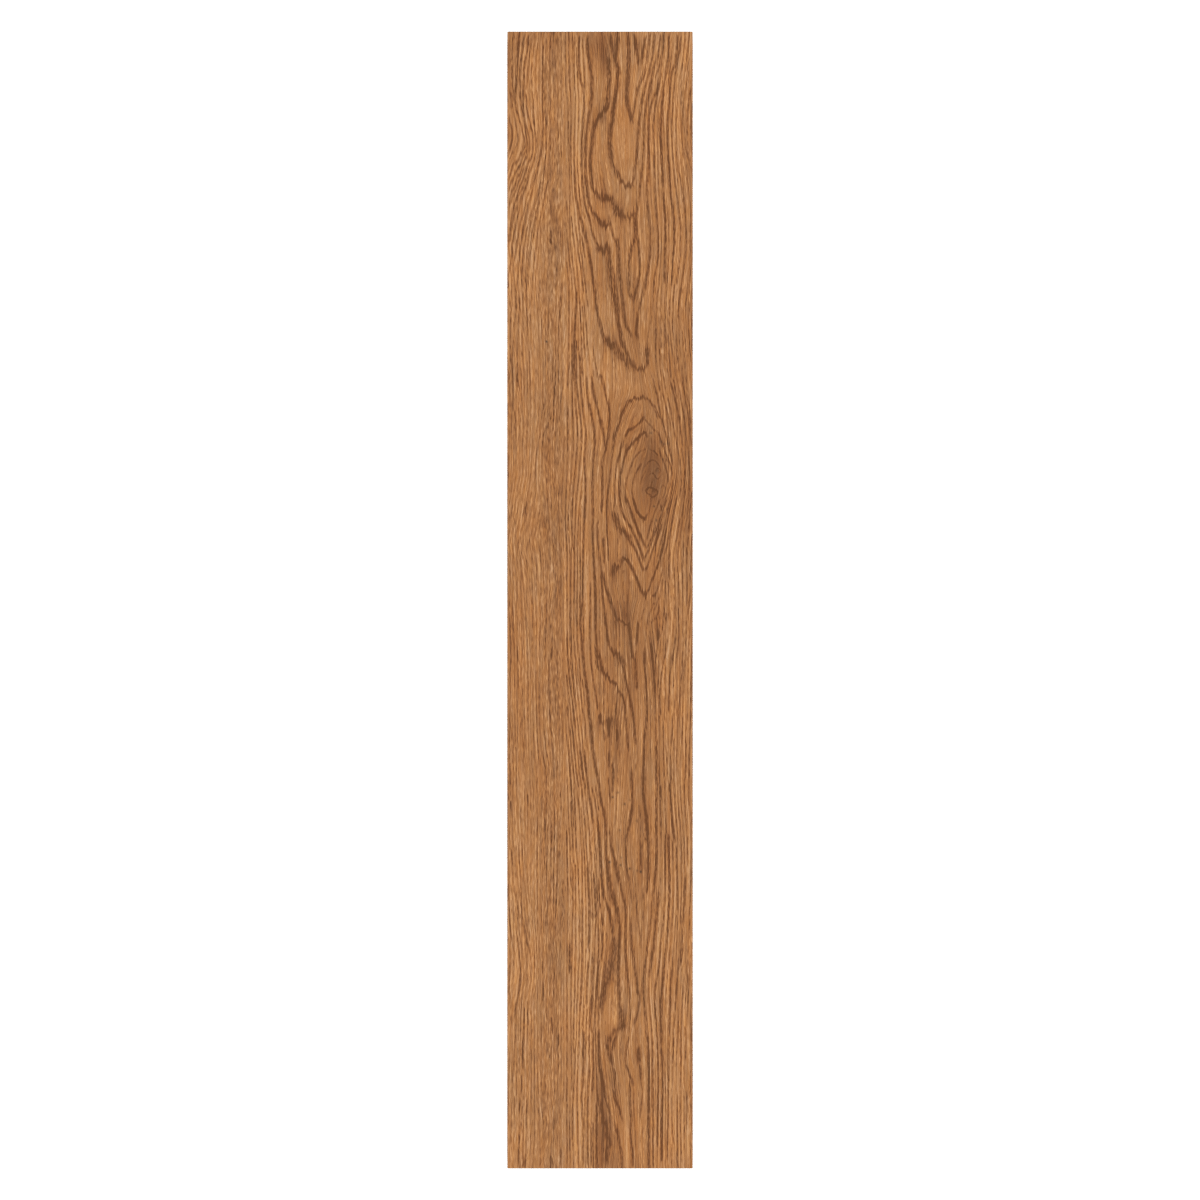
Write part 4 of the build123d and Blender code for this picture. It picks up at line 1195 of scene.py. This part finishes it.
def oak_print():
    m = Nodes("oak_vinyl_print")
    pos = m.object_xyz()
    y = m.math("MULTIPLY", pos[1], MM)
    x0 = m.math("MULTIPLY", pos[0], MM)
    u = m.attr("fibre")
    even = m.attr("even")
    ring, pale_at, tone_at, grey_at = m.attr("dark"), m.attr("pale"), m.attr("tone"), m.attr("grey")

    wide = m.noise(u, y, 4.5, 110.0, 3.1, detail=1.5)
    long = m.noise(u, y, 0.85, 75.0, 11.7, detail=1.0)
    short = m.noise(u, y, 0.95, 7.0, 27.3, detail=1.0)
    pore_run = m.noise(u, y, 0.85, 55.0, 41.9, detail=0.0)
    pore_cut = m.noise(u, y, 0.95, 5.5, 57.9, detail=0.0)
    cloud = m.noise(x0, y, 14.0, 22.0, 5.5, detail=2.0)

    # fibres keep to their line but swell and fade along it; pores are dashes on such lines
    swell = m.remap(short, 0.35, 0.65, 0.25, 1.6)
    fibres = m.math("MULTIPLY", m.math("SUBTRACT", long, 0.5), swell)
    fleck = m.noise(u, y, 0.85, 6.0, 71.3, detail=1.0)
    dash = m.math("MULTIPLY", m.remap(pore_run, 0.52, 0.64, 0.0, 1.0, True), m.remap(pore_cut, 0.46, 0.60, 0.0, 1.0, True))

    # ring lines break up a little into rows of pores
    bead = m.noise(u, y, 1.0, 3.4, 103.0, detail=0.0)
    line = m.math("MULTIPLY", ring, m.remap(short, 0.36, 0.64, 1.16, 0.78))
    line = m.math("MULTIPLY", line, m.math("ADD", 1.0, m.math("MULTIPLY", m.remap(bead, 0.32, 0.68, 0.30, -0.28), m.remap(even, 0.0, 1.0, 1.0, 0.45))))
    line = m.remap(line, 0.10, 0.90, 0.0, 1.0)

    t = m.math("ADD", 0.71, m.math("MULTIPLY", m.math("SUBTRACT", wide, 0.5), 0.40))
    # the left of the plank is flecked rather than fibrous
    side = m.remap(x0, -25.0, -33.0, 0.0, 1.0)
    lined = m.math("MULTIPLY", m.remap(x0, -30.0, -26.0, 0.0, 1.0), m.remap(x0, 5.0, -5.0, 0.0, 1.0))
    fibrous = m.math("SUBTRACT", m.remap(side, 0.0, 1.0, 1.0, 0.75), m.math("MULTIPLY", lined, 0.35))
    fibrous = m.math("MULTIPLY", fibrous, m.remap(even, 0.0, 1.0, 1.0, 0.40))
    t = m.math("ADD", t, m.math("MULTIPLY", fibres, fibrous))
    mottle = m.math("MULTIPLY", m.remap(x0, -48.0, -45.0, 0.0, 0.55), m.remap(x0, -28.0, -32.0, 0.0, 1.0))
    spots = m.math("MULTIPLY", m.math("SUBTRACT", fleck, 0.5), m.math("ADD", m.remap(side, 0.0, 1.0, 0.25, 0.62), mottle))
    t = m.math("ADD", t, m.math("MULTIPLY", spots, m.remap(even, 0.0, 1.0, 1.0, 0.45)))
    # towards the left edge the year rings lie close together and evenly
    turn = m.math("ADD", m.math("MULTIPLY", u, 2.32), m.math("MULTIPLY", m.noise(u, y, 10.0, 90.0, 33.0, detail=1.0), 7.0))
    rise = m.remap(m.noise(u, y, 3.5, 30.0, 37.0, detail=1.0), 0.36, 0.64, 0.02, 0.115)
    t = m.math("ADD", t, m.math("MULTIPLY", m.math("MULTIPLY", m.math("SINE", turn), rise), side))
    t = m.math("ADD", t, m.math("MULTIPLY", m.math("SUBTRACT", short, 0.5), 0.30))
    t = m.math("ADD", t, m.math("MULTIPLY", m.math("SUBTRACT", cloud, 0.5), 0.16))
    t = m.math("SUBTRACT", t, m.math("MULTIPLY", dash, m.remap(even, 0.0, 1.0, 0.24, 0.08)))
    t = m.math("SUBTRACT", t, m.math("MULTIPLY", line, 0.55))
    t = m.math("ADD", t, m.math("MULTIPLY", pale_at, 0.46))
    streaked = m.math("MULTIPLY", m.remap(long, 0.35, 0.65, 0.16, -0.16), m.remap(even, 0.0, 1.0, 1.0, 0.25))
    rough_tone = m.math("MULTIPLY", tone_at, m.math("ADD", streaked, 1.0))
    t = m.math("SUBTRACT", t, m.math("MULTIPLY", rough_tone, 0.60))
    t = m.math("SUBTRACT", t, m.math("MULTIPLY", m.remap(grey_at, 0.0, 1.0, 0.0, 1.0), 0.16), clamp=True)

    g = 0.68
    colour = m.ramp(t, [
        (0.00, lin(117, 77.3, 50.2, g)), (0.10, lin(126.5, 84.3, 55.4, g)), (0.20, lin(135.5, 91, 60, g)),
        (0.40, lin(156, 106.7, 69.3, g)), (0.55, lin(170.5, 118.6, 76.5, g)), (0.70, lin(182, 128.6, 83, g)),
        (0.86, lin(197, 142.5, 95, g)), (1.00, lin(214, 161, 111, g))])
    cool = m.ramp(t, [
        (0.00, lin(100, 69, 46, g)), (0.40, lin(153, 107.5, 72.5, g)), (0.70, lin(178, 129, 87, g)), (1.00, lin(206, 160, 117, g))])
    colour = m.mix(m.math("MULTIPLY", grey_at, 0.7, clamp=True), colour, cool)
    # hue drifts: golden stretches, and single fibres a little redder or yellower than the next
    colour = m.mix(m.remap(grey_at, 0.0, -0.5, 0.0, 1.0), colour, m.mix(1.0, colour, (1.012, 0.99, 0.95, 1.0), "MULTIPLY"))
    hue = m.noise(x0, y, 30.0, 90.0, 63.0, detail=1.0)
    colour = m.mix(m.remap(hue, 0.35, 0.7, 0.0, 0.30), colour, m.mix(1.0, colour, (1.03, 0.985, 0.93, 1.0), "MULTIPLY"))
    strand = m.noise(u, y, 1.7, 16.0, 83.0, detail=1.0)
    golden = m.mix(1.0, colour, (1.016, 0.975, 0.86, 1.0), "MULTIPLY")
    dusty = m.mix(1.0, colour, (0.986, 1.020, 1.135, 1.0), "MULTIPLY")
    colour = m.mix(m.remap(strand, 0.32, 0.68, 0.0, 1.0), golden, dusty)
    drift = m.math("ADD", m.noise(u, y, 4.0, 40.0, 91.0, detail=1.0), m.noise(x0, y, 12.0, 60.0, 97.0, detail=1.0))
    orange = m.mix(1.0, colour, (1.020, 0.965, 0.87, 1.0), "MULTIPLY")
    straw = m.mix(1.0, colour, (0.982, 1.032, 1.125, 1.0), "MULTIPLY")
    colour = m.mix(m.remap(drift, 0.72, 1.28, 0.0, 1.0), orange, straw)
    colour = m.mix(m.attr("pin"), colour, (0.028, 0.013, 0.006, 1.0))
    m.link(colour, m.bsdf.inputs["Base Color"])

    m.link(m.math("ADD", m.remap(short, 0.3, 0.7, 0.50, 0.60), m.math("MULTIPLY", line, 0.10)), m.bsdf.inputs["Roughness"])
    m.bsdf.inputs["Specular IOR Level"].default_value = 0.24
    height = m.math("SUBTRACT", m.math("MULTIPLY", long, 0.5), m.math("ADD", m.math("MULTIPLY", dash, 0.35), m.math("MULTIPLY", line, 0.5)))
    m.bump(height, 0.22, 0.00006)
    return m.mat


def edge_core():
    m = Nodes("filled_vinyl_edge")
    pos = m.object_xyz()
    z = m.math("MULTIPLY", pos[2], MM)
    run = m.math("MULTIPLY", m.math("ADD", pos[0], pos[1]), MM)
    grit = m.noise(run, z, 0.35, 0.3, 8.0, detail=3.0, rough=0.65)
    drag = m.noise(run, z, 0.9, 6.0, 19.0, detail=1.0)
    speck = m.remap(m.noise(run, z, 0.25, 0.25, 33.0, detail=0.0), 0.64, 0.74, 0.0, 1.0, True)
    shade = m.math("ADD", m.math("MULTIPLY", grit, 0.7), m.math("MULTIPLY", drag, 0.3))
    body = m.ramp(shade, [(0.25, lin(138, 122, 106)), (0.5, lin(158, 143, 126)), (0.75, lin(176, 163, 147))])
    body = m.mix(m.math("MULTIPLY", speck, 0.5), body, (*lin(206, 198, 186), 1.0))
    film = m.remap(m.math("ADD", z, m.math("MULTIPLY", m.math("SUBTRACT", drag, 0.5), 0.08)), 1.60, 1.68, 0.0, 1.0, True)
    colour = m.mix(film, body, m.ramp(grit, [(0.3, lin(118, 78, 48)), (0.7, lin(160, 112, 72))]))
    paper = m.remap(z, 0.14, 0.10, 0.0, 1.0, True)
    colour = m.mix(paper, colour, m.ramp(grit, [(0.3, lin(212, 207, 196)), (0.7, lin(228, 224, 214))]))
    m.link(colour, m.bsdf.inputs["Base Color"])
    m.link(m.remap(grit, 0.3, 0.7, 0.55, 0.75), m.bsdf.inputs["Roughness"])
    m.bump(shade, 0.3, 0.00008)
    return m.mat


def paper_back():
    m = Nodes("release_paper_back")
    pos = m.object_xyz()
    x, y = m.math("MULTIPLY", pos[0], MM), m.math("MULTIPLY", pos[1], MM)
    pulp = m.noise(x, y, 1.4, 1.4, 2.0, detail=4.0, rough=0.6)
    cloud = m.noise(x, y, 26.0, 40.0, 9.0, detail=2.0)
    shade = m.math("ADD", m.math("MULTIPLY", pulp, 0.55), m.math("MULTIPLY", cloud, 0.45))
    m.link(m.ramp(shade, [(0.25, lin(214, 209, 198)), (0.5, lin(226, 222, 212)), (0.75, lin(236, 233, 225))]), m.bsdf.inputs["Base Color"])
    m.link(m.remap(pulp, 0.3, 0.7, 0.42, 0.58), m.bsdf.inputs["Roughness"])
    m.bump(pulp, 0.25, 0.00005)
    return m.mat


for made in (oak_print(), edge_core(), paper_back()):
    mesh.materials.append(made)

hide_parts("vinyl_tile")
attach(tile, "root")

# ---------------------------------------------------------------- floor, light, camera
floor_mesh = bpy.data.meshes.new("floor")
floor_mesh.from_pydata([(-6, -6, 0), (6, -6, 0), (6, 6, 0), (-6, 6, 0)], [], [(0, 1, 2, 3)])
floor = bpy.data.objects.new("floor", floor_mesh)
floor.location.z = LO.z - 0.0002
bpy.context.scene.collection.objects.link(floor)
f = Nodes("pale_floor")
fx = f.object_xyz()
dust = f.noise(f.math("MULTIPLY", fx[0], MM), f.math("MULTIPLY", fx[1], MM), 60.0, 60.0, 1.0, detail=3.0)
f.link(f.ramp(dust, [(0.3, (0.97, 0.97, 0.97)), (0.7, (0.985, 0.985, 0.985))]), f.bsdf.inputs["Base Color"])
f.bsdf.inputs["Roughness"].default_value = 0.9
f.bsdf.inputs["Specular IOR Level"].default_value = 0.0
floor_mesh.materials.append(f.mat)


def softbox(name, at, size, power):
    data = bpy.data.lights.new(name, "AREA")
    data.shape = "SQUARE"
    data.size = size
    data.energy = power
    lamp = bpy.data.objects.new(name, data)
    lamp.location = at
    lamp.rotation_euler = (-Vector(at)).to_track_quat("-Z", "Y").to_euler()
    bpy.context.scene.collection.objects.link(lamp)


softbox("soft_left", (-2.4, 0.0, 2.4), 2.2, 18.75)
softbox("soft_right", (2.4, 0.0, 2.4), 2.2, 18.75)
softbox("soft_front", (0.0, -2.6, 2.4), 2.2, 18.75)
softbox("soft_back", (0.0, 2.6, 2.4), 2.2, 18.75)

world = bpy.data.worlds.new("studio")
bpy.context.scene.world = world
world.use_nodes = True
back = world.node_tree.nodes["Background"]
back.inputs[0].default_value = (1.0, 1.0, 1.0, 1.0)
back.inputs[1].default_value = 1.0

cam_data = bpy.data.cameras.new("camera")
cam_data.lens = 100.0
cam_data.sensor_width = 36.0
cam_data.clip_end = 100.0
cam = bpy.data.objects.new("camera", cam_data)
cam.location = ((LO.x + HI.x) / 2, (LO.y + HI.y) / 2, HI.z + 0.9712 * 100.0 / 36.0)
cam.rotation_euler = (0.0, 0.0, 0.0)
bpy.context.scene.collection.objects.link(cam)
bpy.context.scene.camera = cam
bpy.context.scene.view_settings.view_transform = "Standard"
bpy.context.scene.view_settings.look = "None"
bpy.context.scene.cycles.use_denoising = False      # keeps the fine grain
bpy.context.scene.cycles.filter_width = 1.1
